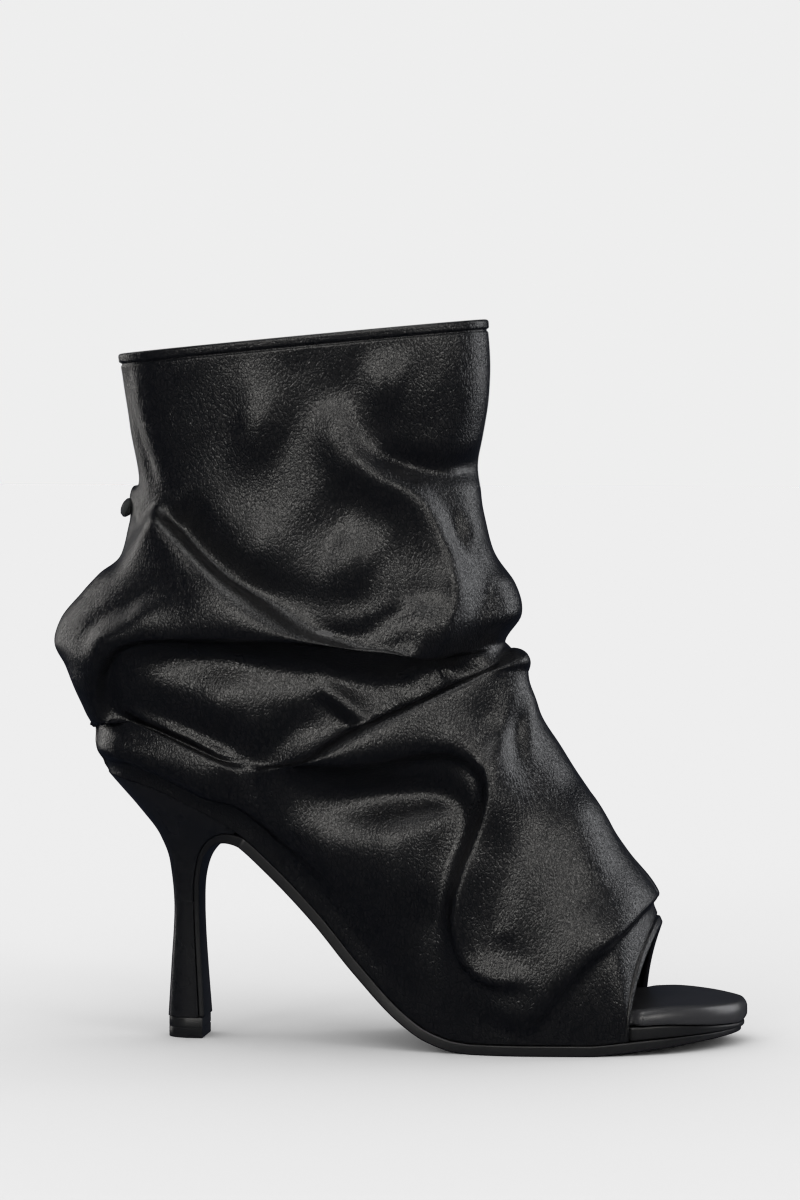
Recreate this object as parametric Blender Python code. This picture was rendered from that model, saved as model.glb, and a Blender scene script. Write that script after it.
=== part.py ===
"""Peep toe ankle boot with a slouched shaft and a covered stiletto heel, the right shoe of a pair.

The toe points along +X, the outer side of the foot faces -Y and the floor is z = 0.
The origin is the middle of the heel tip, on the floor.
Lengths are metres. Tables hold shares of the named sizes that each column follows.
"""
import math
from collections import namedtuple

import bmesh
import bpy
import numpy as np

# Foot and last
FOOT_LENGTH = 0.226
BALL_WIDTH = 0.085
COUNTER_BEHIND_TIP = 0.0294
HEEL_HEIGHT = 0.094
SHAFT_HEIGHT = 0.152
TOE_SPRING = 0.0022

# Upper
WALL = 0.002
RIM_HEIGHT = 0.0365
RIM_LEAN = 0.0085
RIM_ALONG = 0.832
RIM_FULLNESS = 1.7
RIM_CURL = 2.0
COLLAR_ROLL = 0.0006
COLLAR_ROLL_HEIGHT = 0.003
BACK_STRIP_STEP = 0.0008
BACK_STRIP_WIDTH = 0.015
SIDE_BULGE = 0.004
WALL_UPRIGHT = 0.012
WALL_UPRIGHT_SHARE = 0.3
WALL_BULGE_SHARE = 0.2
UPRIGHTNESS = 0.6
END_BULGE_SHARE = 0.35

# Sole stack
OUTSOLE_THICKNESS = 0.0035
SOLE_LEDGE = 0.0012
BREAST_FLAP = 0.0018
BOARD_THICKNESS = 0.005
BOARD_EDGE = 0.001
SOCK_THICKNESS = 0.0068
SOCK_CLEARANCE = 0.0014
SOCK_WIDENS_AHEAD = 0.003

# Heel
TIP_HEIGHT = 0.007
TIP_DEPTH = 0.0134
TIP_WIDTH = 0.019
TIP_INSET = 0.0003
BREAST_ALONG = 0.221
SEAT_LEAVES_ALONG = 0.236
FLAP_LEAD = 0.03
FLAP_THINS_BY = 0.35
HEEL_SQUARENESS = 0.8

# Stud that tacks the pleat at the back
STUD_DIAMETER = 0.007
STUD_HEIGHT = 0.0036
STUD_LIFT = 0.0006
STUD_RISE = 1.60

# Clearance between pieces that touch
GAP = 0.0003

# Mesh counts
FEATHER_STEPS = 24
RIM_STEPS = 20
ROWS_PER_SPAN = (2, 4, 4, 2, 2, 2, 2, 2, 2, 2, 2, 2, 2)
TOE_STEPS = 10
SOLE_COLUMNS = 4
HEEL_BREAST_STEPS = 4
HEEL_ROWS = 14
FLAP_ROWS = 12
STUD_TURNS = 16
LINE_SAMPLES = 181
FLAP_SAMPLES = 121
SLOPE_STEP = 0.0005
LEAST_TURN = 0.01

# Angles in degrees above which an edge is shaded crisp
SOFT_EDGE = 60
FIRM_EDGE = 50
CRISP_EDGE = 40

# The last's bottom edge: the arch is a share of the heel's height, the spring of the toe spring
Last = namedtuple("Last", "along arch spring")
LAST = (
    Last(0.000, 1.000, 0.00),
    Last(0.080, 0.952, 0.00),
    Last(0.160, 0.868, 0.00),
    Last(0.230, 0.768, 0.00),
    Last(0.283, 0.652, 0.00),
    Last(0.354, 0.470, 0.00),
    Last(0.420, 0.275, 0.00),
    Last(0.486, 0.108, 0.00),
    Last(0.530, 0.036, 0.00),
    Last(0.570, 0.006, 0.00),
    Last(0.600, 0.000, 0.00),
    Last(0.770, 0.000, 0.00),
    Last(0.830, 0.000, 0.45),
    Last(0.880, 0.000, 0.80),
    Last(0.940, 0.000, 1.00),
    Last(1.000, 0.000, 1.02),
)

# The sole's outline: half widths to the outer and the inner side, shares of the ball's width
Outline = namedtuple("Outline", "along outer inner")
OUTLINE = (
    Outline(0.007, 0.000, 0.000),
    Outline(0.022, -0.165, 0.160),
    Outline(0.072, -0.270, 0.262),
    Outline(0.160, -0.315, 0.300),
    Outline(0.300, -0.335, 0.295),
    Outline(0.430, -0.375, 0.325),
    Outline(0.550, -0.450, 0.425),
    Outline(0.660, -0.500, 0.495),
    Outline(0.770, -0.485, 0.505),
    Outline(0.860, -0.415, 0.460),
    Outline(0.935, -0.285, 0.375),
    Outline(0.980, -0.120, 0.260),
    Outline(1.000, 0.080, 0.080),
)

# How thick each layer of the sole stack is, and how far the outsole stands out past the upper
Layer = namedtuple("Layer", "along outsole board sock ledge")
LAYERS = (
    Layer(0.00, 1.00, 0.50, 0.37, 0.0),
    Layer(0.35, 1.00, 0.50, 0.37, 0.0),
    Layer(0.50, 1.00, 0.50, 0.45, 0.6),
    Layer(0.66, 1.00, 0.60, 0.55, 1.0),
    Layer(0.80, 1.00, 0.95, 0.70, 0.8),
    Layer(0.88, 0.90, 0.85, 0.85, 0.2),
    Layer(0.94, 0.65, 0.55, 0.95, -0.9),
    Layer(1.00, 0.42, 0.25, 1.00, -1.8),
)

# The sock's rounded edge from its underside to its top: an inset, and a share of its thickness
SockEdge = namedtuple("SockEdge", "inset level")
SOCK_EDGE = (
    SockEdge(0.0010, 0.00),
    SockEdge(0.0000, 0.30),
    SockEdge(0.0000, 0.55),
    SockEdge(0.0012, 0.84),
    SockEdge(0.0040, 1.00),
)

# The stud's dome: shares of its radius and of its height
Dome = namedtuple("Dome", "radius height")
STUD_DOME = (
    Dome(0.62, 0.00),
    Dome(0.95, 0.30),
    Dome(1.00, 0.52),
    Dome(0.82, 0.80),
    Dome(0.45, 0.96),
)

# The outsole's inner face below the seat: it leaves the last and runs down the heel's breast.
# Depth and width are shares of the tip's, and flare is the share of the way out to the seat's width.
Flap = namedtuple("Flap", "depth rise width flare")
FLAP = (
    Flap(1.170, 0.778, 0.95, 0.78),
    Flap(0.750, 0.750, 0.92, 0.48),
    Flap(0.440, 0.695, 0.86, 0.20),
    Flap(0.290, 0.622, 0.79, 0.06),
    Flap(0.240, 0.480, 0.74, 0.00),
    Flap(0.255, 0.404, 0.75, 0.00),
    Flap(0.310, 0.255, 0.83, 0.00),
    Flap(0.390, 0.090, 0.96, 0.00),
)

# The heel's back edge from its foot to the seat, and how much of the seat's outline it has there
HeelSection = namedtuple("HeelSection", "step back rise flare")
HEEL = (
    HeelSection(0.00, -0.510, 0.000, 0.00),
    HeelSection(0.22, -0.430, 0.210, 0.00),
    HeelSection(0.42, -0.350, 0.440, 0.00),
    HeelSection(0.60, -0.360, 0.630, 0.06),
    HeelSection(0.74, -0.400, 0.740, 0.19),
    HeelSection(0.87, -0.450, 0.865, 0.53),
    HeelSection(1.00, -0.500, 1.000, 1.00),
)

# The upper above the last, from under the slouch to the collar
Section = namedtuple("Section", "rise lean back front outer inner")
SECTIONS = (
    Section(1.125, 0.053, 0.002, 0.673, 0.405, 0.400),
    Section(1.180, 0.057, -0.017, 0.648, 0.420, 0.415),
    Section(1.250, 0.020, -0.057, 0.639, 0.435, 0.435),
    Section(1.293, 0.000, -0.075, 0.620, 0.445, 0.445),
    Section(1.353, 0.023, -0.068, 0.649, 0.455, 0.455),
    Section(1.424, 0.020, -0.032, 0.641, 0.450, 0.450),
    Section(1.500, 0.026, 0.011, 0.608, 0.430, 0.430),
    Section(1.576, 0.033, 0.031, 0.595, 0.405, 0.405),
    Section(1.664, 0.060, 0.054, 0.589, 0.385, 0.385),
    Section(1.829, 0.072, 0.041, 0.603, 0.370, 0.370),
    Section(2.000, 0.080, 0.024, 0.598, 0.365, 0.365),
)
SECTION_FULLNESS = 2.15

# Folds of the leather, seen from the side: a height, and how far it falls off to the left and the
# right of the way that the path runs. Lengths are metres, and the path holds shares along and up.
Fold = namedtuple("Fold", "height left right path")
OUTER_FOLDS = {
    "pleat edge": Fold(0.0075, 0.008, 0.016, (
        (0.07, 1.65), (0.178, 1.494), (0.272, 1.399), (0.40, 1.325))),
    "lip over the mouth": Fold(0.0065, 0.011, 0.005, (
        (0.03, 1.27), (0.12, 1.319), (0.31, 1.312), (0.64, 1.30))),
    "mouth": Fold(-0.0085, 0.010, 0.010, (
        (0.05, 1.24), (0.15, 1.20), (0.27, 1.15), (0.40, 1.20), (0.60, 1.275))),
    "lower roll": Fold(0.0065, 0.005, 0.006, (
        (0.03, 1.24), (0.07, 1.135), (0.165, 1.075), (0.30, 1.01))),
    "vamp edge": Fold(0.0065, 0.005, 0.013, (
        (0.24, 1.01), (0.322, 1.043), (0.442, 1.13), (0.552, 1.20), (0.65, 1.28))),
    "band trough": Fold(-0.005, 0.005, 0.005, (
        (0.24, 0.99), (0.39, 0.955), (0.54, 0.97), (0.565, 0.84),
        (0.54, 0.60), (0.545, 0.40), (0.60, 0.17))),
    "drop ridge": Fold(0.005, 0.006, 0.006, (
        (0.43, 1.03), (0.53, 1.05), (0.61, 0.93), (0.587, 0.717),
        (0.569, 0.50), (0.60, 0.315), (0.68, 0.31))),
    "pocket": Fold(-0.004, 0.006, 0.006, (
        (0.64, 0.85), (0.614, 0.598), (0.605, 0.40), (0.67, 0.38))),
    "crest": Fold(0.0035, 0.006, 0.008, (
        (0.65, 1.28), (0.642, 1.17), (0.626, 1.04), (0.61, 0.80))),
    "toe lap": Fold(0.0025, 0.004, 0.010, (
        (0.86, 0.54), (0.802, 0.402), (0.752, 0.292), (0.709, 0.174), (0.67, 0.03))),
    "shaft hook": Fold(0.004, 0.007, 0.007, (
        (0.385, 1.84), (0.40, 1.74), (0.49, 1.64), (0.557, 1.45), (0.50, 1.325), (0.36, 1.33))),
    "front dent": Fold(-0.004, 0.006, 0.006, (
        (0.60, 1.60), (0.597, 1.53), (0.608, 1.456), (0.63, 1.40))),
}
INNER_FOLDS = {
    "pleat edge": Fold(0.0055, 0.008, 0.016, (
        (0.05, 1.62), (0.20, 1.51), (0.35, 1.44), (0.52, 1.42))),
    "mouth": Fold(-0.005, 0.009, 0.009, (
        (0.06, 1.27), (0.22, 1.22), (0.38, 1.24), (0.57, 1.30))),
    "lower roll": Fold(0.005, 0.006, 0.012, (
        (0.03, 1.18), (0.15, 1.09), (0.28, 1.05), (0.42, 1.13), (0.65, 1.28))),
    "drop trough": Fold(-0.0035, 0.006, 0.006, (
        (0.30, 0.98), (0.45, 0.93), (0.50, 0.75), (0.52, 0.50), (0.58, 0.20))),
    "vamp ridge": Fold(0.003, 0.006, 0.007, (
        (0.56, 1.10), (0.60, 0.90), (0.60, 0.65), (0.63, 0.35))),
    "toe lap": Fold(0.0025, 0.004, 0.010, (
        (0.86, 0.54), (0.812, 0.402), (0.762, 0.292), (0.719, 0.174), (0.68, 0.03))),
    "shaft ridge": Fold(0.003, 0.007, 0.007, (
        (0.28, 1.88), (0.33, 1.72), (0.44, 1.62), (0.54, 1.45))),
}
FOLD_SAMPLES = 28
FOLD_TAPER = 0.22
SIDE_BLEND = 0.010
EDGE_FADE = 0.012

# Colours and finishes
BLACK_LEATHER = ((0.012, 0.012, 0.014), 0.42)
BLACK_SOCK = ((0.035, 0.034, 0.036), 0.55)
BLACK_SOLE = ((0.014, 0.014, 0.015), 0.50)
BLACK_RUBBER = ((0.018, 0.018, 0.018), 0.62)
DARK_METAL = ((0.030, 0.032, 0.030), 0.30)


def column(rows, name):
    """One named column of a table as an array."""
    return np.array([getattr(row, name) for row in rows], dtype=float)


def cubic(knots, values, tangents, at):
    """Cubic pieces through the values at the knots, with the slopes given there."""
    at = np.clip(np.asarray(at, dtype=float), knots[0], knots[-1])
    i = np.clip(np.searchsorted(knots, at, side="right") - 1, 0, len(knots) - 2)
    spread = at.shape + (1,) * (values.ndim - 1)
    step = (knots[i + 1] - knots[i]).reshape(spread)
    s = ((at - knots[i]) / (knots[i + 1] - knots[i])).reshape(spread)
    ends = values[i] * (1 + 2 * s) * (1 - s) ** 2 + values[i + 1] * s * s * (3 - 2 * s)
    return ends + step * s * (1 - s) * (tangents[i] * (1 - s) - tangents[i + 1] * s)


def steady(x, y, at):
    """A smooth curve that never overshoots between its points."""
    slope = np.diff(y) / np.diff(x)
    same = slope[:-1] * slope[1:] > 0
    total = np.where(same, slope[:-1] + slope[1:], 1.0)
    inner = np.where(same, 2 * slope[:-1] * slope[1:] / total, 0.0)
    return cubic(x, y, np.concatenate((slope[:1], inner, slope[-1:])), at)


def flowing(knots, points, at):
    """A smooth curve through points that may turn back, each slope taken from its neighbours."""
    steps = np.diff(knots).reshape((-1,) + (1,) * (points.ndim - 1))
    slope = np.diff(points, axis=0) / steps
    inner = (slope[:-1] * steps[1:] + slope[1:] * steps[:-1]) / (steps[1:] + steps[:-1])
    return cubic(knots, points, np.concatenate((slope[:1], inner, slope[-1:])), at)


def table(rows, name, at, by="along"):
    """A table's column read at any place along another column."""
    return steady(column(rows, by), column(rows, name), at)


def along(share):
    """Distance along the foot from the origin, for a share of the foot's length from the counter."""
    return np.asarray(share) * FOOT_LENGTH - COUNTER_BEHIND_TIP


def share_along(x):
    """The share of the foot's length at a distance along it."""
    return (np.asarray(x) + COUNTER_BEHIND_TIP) / FOOT_LENGTH


def rise(share):
    """Height: 0 to 1 runs from the floor to the heel seat, 1 to 2 from the seat to the collar."""
    share = np.asarray(share)
    return np.minimum(share, 1) * HEEL_HEIGHT + np.maximum(share - 1, 0) * SHAFT_HEIGHT


def last_height(x):
    """Height of the last's bottom edge, which is the top of the outsole and of the heel."""
    share = share_along(x)
    arch = (HEEL_HEIGHT - OUTSOLE_THICKNESS) * table(LAST, "arch", share)
    return OUTSOLE_THICKNESS + arch + TOE_SPRING * table(LAST, "spring", share)


def path_normals(path):
    """Unit normals of a path in the side view, to the left of the way that it runs."""
    tangent = np.gradient(path, axis=0)
    tangent /= np.linalg.norm(tangent, axis=1, keepdims=True)
    return np.stack((-tangent[:, 1], tangent[:, 0]), axis=1)


def on_last(x, y, height):
    """A point that stands a height above the last's bottom edge, square to it."""
    slope = (last_height(x + SLOPE_STEP) - last_height(x - SLOPE_STEP)) / (2 * SLOPE_STEP)
    length = np.sqrt(1 + slope ** 2)
    return np.stack((x - height * slope / length, y + 0 * x, last_height(x) + height / length), axis=-1)


def turn_of(share):
    """Even turns from heel to toe, so that both round ends are finely stepped."""
    start = OUTLINE[0].along
    return np.arccos(1 - 2 * (np.asarray(share) - start) / (1 - start)) / math.pi


def outline_side(turn, side):
    """The outline's plan on one side, at turns from 0 at the heel to 1 at the toe."""
    start = OUTLINE[0].along
    share = start + (1 - start) * (1 - np.cos(math.pi * turn)) / 2
    turns = turn_of(column(OUTLINE, "along"))
    across = steady(turns, column(OUTLINE, side), turn) * BALL_WIDTH
    return np.stack((along(share), across), axis=1)


def inset_loop(loop, inset):
    """A closed plan moved inward by a distance of its own at each point."""
    tangent = np.roll(loop, -1, axis=0) - np.roll(loop, 1, axis=0)
    tangent /= np.linalg.norm(tangent, axis=1, keepdims=True)
    inward = np.stack((-tangent[:, 1], tangent[:, 0]), axis=1)
    return loop + inward * np.reshape(inset, (-1, 1))


def faces_of_grid(rows, columns, closed):
    """Quads between the rows of a grid, whose columns may close on themselves."""
    last = columns if closed else columns - 1
    quads = []
    for i in range(rows - 1):
        for j in range(last):
            right = (j + 1) % columns
            low, high = i * columns, (i + 1) * columns
            quads.append((low + j, low + right, high + right, high + j))
    return quads


def solid(name, points, faces, look, sharp):
    """One closed body with its faces pointing out, shaded smooth up to an angle."""
    mesh = bpy.data.meshes.new(name)
    mesh.from_pydata([tuple(map(float, p)) for p in points], [], faces)
    work = bmesh.new()
    work.from_mesh(mesh)
    bmesh.ops.recalc_face_normals(work, faces=work.faces)
    work.to_mesh(mesh)
    work.free()
    mesh.shade_smooth()
    mesh.set_sharp_from_angle(angle=math.radians(sharp))
    item = bpy.data.objects.new(name, mesh)
    bpy.context.scene.collection.objects.link(item)
    mesh.materials.append(material(name, look))
    return item


def material(name, look):
    """A plain finish with a colour and a roughness."""
    finish = bpy.data.materials.new(name)
    finish.use_nodes = True
    shader = finish.node_tree.nodes["Principled BSDF"]
    colour, roughness = look
    shader.inputs["Base Color"].default_value = (*colour, 1.0)
    shader.inputs["Roughness"].default_value = roughness
    shader.inputs["Metallic"].default_value = 0.0
    return finish


def feather_turns():
    """The steps that every piece along the last's edge shares, from the heel to the toe strap."""
    return np.linspace(0, turn_of(RIM_ALONG), FEATHER_STEPS + 1)


def bottom_loop():
    """The upper's lower edge: the outer feather line, the arch over the toes, the inner feather line."""
    turns = feather_turns()
    outer = outline_side(turns, "outer")
    inner = outline_side(turns, "inner")[::-1]
    outer = on_last(outer[:, 0], outer[:, 1], GAP)
    inner = on_last(inner[:, 0], inner[:, 1], GAP)
    swing = np.linspace(0, math.pi, RIM_STEPS + 1)[1:-1]
    power = 2 / RIM_FULLNESS
    half = (inner[0] - outer[-1]) / 2
    middle = (inner[0] + outer[-1]) / 2
    sideways = -np.sign(np.cos(swing)) * np.abs(np.cos(swing)) ** power
    upward = np.sin(swing) ** power
    arch = middle + half * sideways[:, None]
    arch = arch + np.stack((RIM_LEAN * upward ** RIM_CURL, 0 * upward, RIM_HEIGHT * upward), axis=1)
    return np.concatenate((outer, arch, inner[:-1]))


def arc_shares(points):
    """How far along an open line each point is, from 0 to 1."""
    length = np.concatenate(([0.0], np.cumsum(np.linalg.norm(np.diff(points, axis=0), axis=1))))
    return length / length[-1]


def section_loop(section, outer_shares, inner_shares):
    """A closed section of the shaft, stepped in the same shares as the bottom loop's two halves."""
    back, front = along(section.back), along(section.front)
    middle, half = (back + front) / 2, (front - back) / 2
    power = 2 / SECTION_FULLNESS
    swing = np.linspace(0, math.pi, LINE_SAMPLES)
    x = middle - half * np.sign(np.cos(swing)) * np.abs(np.cos(swing)) ** power
    level = rise(section.rise) + SHAFT_HEIGHT * section.lean * (x - middle) / (2 * half)
    sides = []
    for width, shares in ((-section.outer, outer_shares), (section.inner, inner_shares)):
        y = BALL_WIDTH * width * np.sin(swing) ** power
        line = np.stack((x, y, level), axis=1)
        reach = arc_shares(line)
        sides.append(np.stack([np.interp(shares, reach, line[:, k]) for k in range(3)], axis=1))
    return np.concatenate((sides[0], sides[1][-2:0:-1]))


def upper_loops():
    """The loops that the upper passes through, from its lower edge to the collar."""
    low = bottom_loop()
    top = len(low) // 2
    outer_shares = arc_shares(low[:top + 1])
    inner_shares = arc_shares(np.concatenate((low[top:], low[:1])))
    shaft = [section_loop(s, outer_shares, 1 - inner_shares[::-1]) for s in SECTIONS]
    chord = shaft[0] - low
    round_the_edge = np.roll(low, -1, axis=0) - np.roll(low, 1, axis=0)
    outward = np.cross(round_the_edge, chord)
    outward /= np.linalg.norm(outward, axis=1, keepdims=True)
    sideways = np.abs(outward[:, 1:2])
    bulge = outward * SIDE_BULGE
    middle = (low + shaft[0]) / 2 + bulge * (END_BULGE_SHARE + (1 - END_BULGE_SHARE) * sideways)
    length = np.linalg.norm(chord, axis=1, keepdims=True)
    lean = UPRIGHTNESS * sideways
    upright = chord / length * (1 - lean) + lean * np.array((0.0, 0.0, 1.0))
    reach = np.minimum(WALL_UPRIGHT, length * WALL_UPRIGHT_SHARE)
    wall = low + upright * reach + bulge * WALL_BULGE_SHARE
    return np.stack([low, wall, middle] + shaft)


def loft(loops, spans, shares):
    """Smooth lines across the loops, at a share of the way through a span between two of them."""
    steps = np.linalg.norm(np.diff(loops, axis=0), axis=2)[..., None]
    slope = np.diff(loops, axis=0) / steps
    inner = (slope[:-1] * steps[1:] + slope[1:] * steps[:-1]) / (steps[1:] + steps[:-1])
    tangent = np.concatenate((slope[:1], inner, slope[-1:]))
    s = shares[:, None, None]
    ends = loops[spans] * (1 + 2 * s) * (1 - s) ** 2 + loops[spans + 1] * s * s * (3 - 2 * s)
    return ends + steps[spans] * s * (1 - s) * (tangent[spans] * (1 - s) - tangent[spans + 1] * s)


def upper_base():
    """The smooth upper before its folds, with its outward normals and the length up each line."""
    loops = upper_loops()
    spans = [i for i, n in enumerate(ROWS_PER_SPAN) for k in range(n)]
    shares = [k / n for n in ROWS_PER_SPAN for k in range(n)]
    last = len(ROWS_PER_SPAN) - 1
    last_step = np.linalg.norm(loops[-1] - loops[-2], axis=1).mean()
    spans = np.array(spans + [last, last])
    shares = np.array(shares + [1 - COLLAR_ROLL_HEIGHT / last_step, 1.0])
    base = loft(loops, spans, shares)
    climb = np.linalg.norm(np.diff(base, axis=0), axis=2)
    length = np.concatenate((np.zeros((1, base.shape[1])), np.cumsum(climb, axis=0)))
    up = np.gradient(base, axis=0)
    around = np.roll(base, -1, axis=1) - np.roll(base, 1, axis=1)
    normal = np.cross(around, up)
    normal /= np.linalg.norm(normal, axis=2, keepdims=True)
    return base, normal, length


def fold_path(path):
    """A fold's path as a fine line in the side view."""
    points = np.stack((along([p[0] for p in path]), rise([p[1] for p in path])), axis=1)
    knots = arc_shares(points)
    return flowing(knots, points, np.linspace(0, 1, FOLD_SAMPLES))


def fold_height(fold, x, z):
    """How far one fold lifts the leather at places in the side view."""
    line = fold_path(fold.path)
    start, run = line[:-1], np.diff(line, axis=0)
    spot = np.stack((x, z), axis=-1)[..., None, :] - start
    share = np.clip((spot * run).sum(-1) / (run ** 2).sum(-1), 0, 1)
    away = spot - share[..., None] * run
    distance = np.linalg.norm(away, axis=-1)
    nearest = distance.argmin(axis=-1)[..., None]
    turn = run[:, 0] * spot[..., 1] - run[:, 1] * spot[..., 0]
    turn, distance, share = (
        np.take_along_axis(values, nearest, axis=-1)[..., 0] for values in (turn, distance, share))
    reach = arc_shares(line)[nearest[..., 0]] + share / len(run)
    fade = np.clip(np.minimum(reach, 1 - reach) / FOLD_TAPER, 0, 1)
    width = np.where(turn > 0, fold.left, fold.right)
    return fold.height * fade * fade * (3 - 2 * fade) * np.exp(-(distance / width) ** 2)


def soft_step(value):
    """A smooth change from 0 to 1 as the value goes from 0 to 1."""
    value = np.clip(value, 0, 1)
    return value * value * (3 - 2 * value)


def leather_relief(base, length):
    """Folds, back strip and collar roll of the upper, as distances along its normals."""
    x, y, z = base[..., 0], base[..., 1], base[..., 2]
    outer = sum(fold_height(fold, x, z) for fold in OUTER_FOLDS.values())
    inner = sum(fold_height(fold, x, z) for fold in INNER_FOLDS.values())
    side = soft_step(0.5 + y / (2 * SIDE_BLEND))
    relief = outer * (1 - side) + inner * side
    from_edge = soft_step(length / EDGE_FADE)
    from_collar = soft_step((length[-1] - length) / EDGE_FADE)
    strip = (np.abs(y) < BACK_STRIP_WIDTH / 2) & (x < 0) & (z < rise(SECTIONS[0].rise))
    relief = relief * from_edge * from_collar + BACK_STRIP_STEP * strip * from_edge
    relief[-2] -= COLLAR_ROLL
    relief[-1] += COLLAR_ROLL
    return relief


def build_upper():
    """One hollow shell of leather, open at the collar, at the toes and underneath."""
    base, normal, length = upper_base()
    relief = leather_relief(base, length)[..., None]
    outside = base + normal * relief
    inside = base + normal * (relief - WALL)
    rows, columns = relief.shape[:2]
    points = np.concatenate((outside.reshape(-1, 3), inside[::-1].reshape(-1, 3)))
    faces = faces_of_grid(2 * rows, columns, True)
    bottom = 2 * rows - 1
    for j in range(columns):
        right = (j + 1) % columns
        faces.append((bottom * columns + j, bottom * columns + right, right, j))
    return solid("upper", points, faces, BLACK_LEATHER, SOFT_EDGE)


def plate_loop(inset_back, inset_toe, toe_start):
    """A closed plan inside the sole's outline, wider again ahead of the toe strap."""
    wide_start = turn_of(share_along(toe_start + BOARD_EDGE))
    back = np.append(feather_turns(), turn_of(share_along(toe_start)))
    toe = np.linspace(wide_start, 1, TOE_STEPS + 1)
    turns = np.concatenate((back, toe))
    insets = np.concatenate((np.full(len(back), inset_back), np.full(len(toe), inset_toe)))
    loop = np.concatenate((outline_side(turns, "outer"), outline_side(turns[-2:0:-1], "inner")))
    insets = np.concatenate((insets, insets[-2:0:-1]))
    return loop, insets


def close_with_ladder(ring, start, flip):
    """Faces that close a ring of points with rungs between its two sides."""
    count = len(ring)
    half = count // 2
    faces = [(start, start + 1, start + count - 1)]
    for i in range(1, half - 1):
        faces.append((start + i, start + i + 1, start + count - i - 1, start + count - i))
    faces.append((start + half - 1, start + half, start + half + 1))
    return [face[::-1] for face in faces] if flip else faces


def plate(name, loop, insets, low, high, rim, look):
    """A layer of the sole stack: rings round its edge from bottom to top, closed by rungs."""
    rings = []
    for extra, level in rim:
        plan = inset_loop(loop, insets + extra)
        base = low(plan[:, 0])
        rings.append(on_last(plan[:, 0], plan[:, 1], base + (high(plan[:, 0]) - base) * level))
    count = len(loop)
    faces = faces_of_grid(len(rings), count, True)
    faces += close_with_ladder(rings[0], 0, True)
    faces += close_with_ladder(rings[-1], (len(rings) - 1) * count, False)
    return solid(name, np.concatenate(rings), faces, look, FIRM_EDGE)


def board_top(x):
    """Height of the board's upper face above the last's bottom edge."""
    return GAP + BOARD_THICKNESS * table(LAYERS, "board", share_along(x))


def sock_top(x):
    """Height of the sock's upper face above the last's bottom edge."""
    return board_top(x) + GAP + SOCK_THICKNESS * table(LAYERS, "sock", share_along(x))


def build_board():
    """The wrapped board: inside the upper at the back, out to the sole's edge at the toe."""
    loop, insets = plate_loop(WALL + GAP, BOARD_EDGE, along(RIM_ALONG) + GAP)
    rim = ((0.0, 0.0), (0.0, 1.0))
    return plate("insole_board", loop, insets, lambda x: GAP + 0 * x, board_top, rim, BLACK_SOLE)


def build_sock():
    """The padded sock with a full rounded edge, which closes the stack at the toe."""
    loop, insets = plate_loop(WALL + SOCK_CLEARANCE, 0.0, along(RIM_ALONG) + SOCK_WIDENS_AHEAD)
    return plate("insole_sock", loop, insets, lambda x: board_top(x) + GAP, sock_top, SOCK_EDGE, BLACK_SOCK)


def flap_points():
    """The flap's named places in the side view, with one before it to set its slope."""
    leave = along(SEAT_LEAVES_ALONG)
    before = along(SEAT_LEAVES_ALONG + FLAP_LEAD)
    points = [(before, last_height(before)), (leave, last_height(leave))]
    points += [(TIP_DEPTH * row.depth, HEEL_HEIGHT * row.rise) for row in FLAP[:-1]]
    points.append((TIP_DEPTH * FLAP[-1].depth, TIP_HEIGHT + GAP))
    return np.array(points, dtype=float)


def flap_path():
    """The outsole's inner face from where it leaves the last to the top of the heel tip."""
    points = flap_points()
    knots = arc_shares(points)
    return flowing(knots, points, np.linspace(knots[1], 1, FLAP_SAMPLES))


def flap_row_shares():
    """How far along the flap each row of its table lies."""
    knots = arc_shares(flap_points())
    return (knots[1:] - knots[1]) / (1 - knots[1])


def flap_places(shares):
    """Points, normals toward the heel and half widths at shares along the breast flap."""
    fine = flap_path()
    reach = arc_shares(fine)
    normals = -path_normals(fine)
    stem = TIP_WIDTH / 2 * np.concatenate(([FLAP[0].width], column(FLAP, "width")))
    flare = np.concatenate(([1.0], column(FLAP, "flare")))
    rows = reach[[np.argmin(np.abs(reach - share)) for share in flap_row_shares()]]
    sides = []
    for name, sign in (("outer", -1), ("inner", 1)):
        seat = outline_side(turn_of(np.array([SEAT_LEAVES_ALONG])), name)[0, 1]
        width = sign * stem * (1 - flare) + seat * flare
        sides.append(steady(rows, width, np.asarray(shares, dtype=float)))
    pick = [np.interp(shares, reach, values) for values in (*fine.T, *normals.T)]
    return np.stack(pick[:2], axis=1), np.stack(pick[2:4], axis=1), sides[0], sides[1]


def outsole_thickness(x):
    """The outsole's thickness along the foot."""
    return OUTSOLE_THICKNESS * table(LAYERS, "outsole", share_along(x))


def outsole_side(turns, name, outward):
    """The outsole's plan on one side, moved out or in from the outline by its ledge."""
    line = outline_side(turns, name)
    tangent = np.gradient(line, axis=0)
    tangent /= np.linalg.norm(tangent, axis=1, keepdims=True)
    ledge = SOLE_LEDGE * table(LAYERS, "ledge", share_along(line[:, 0]))
    return line + outward * np.stack((-tangent[:, 1], tangent[:, 0]), axis=1) * ledge[:, None]


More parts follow.
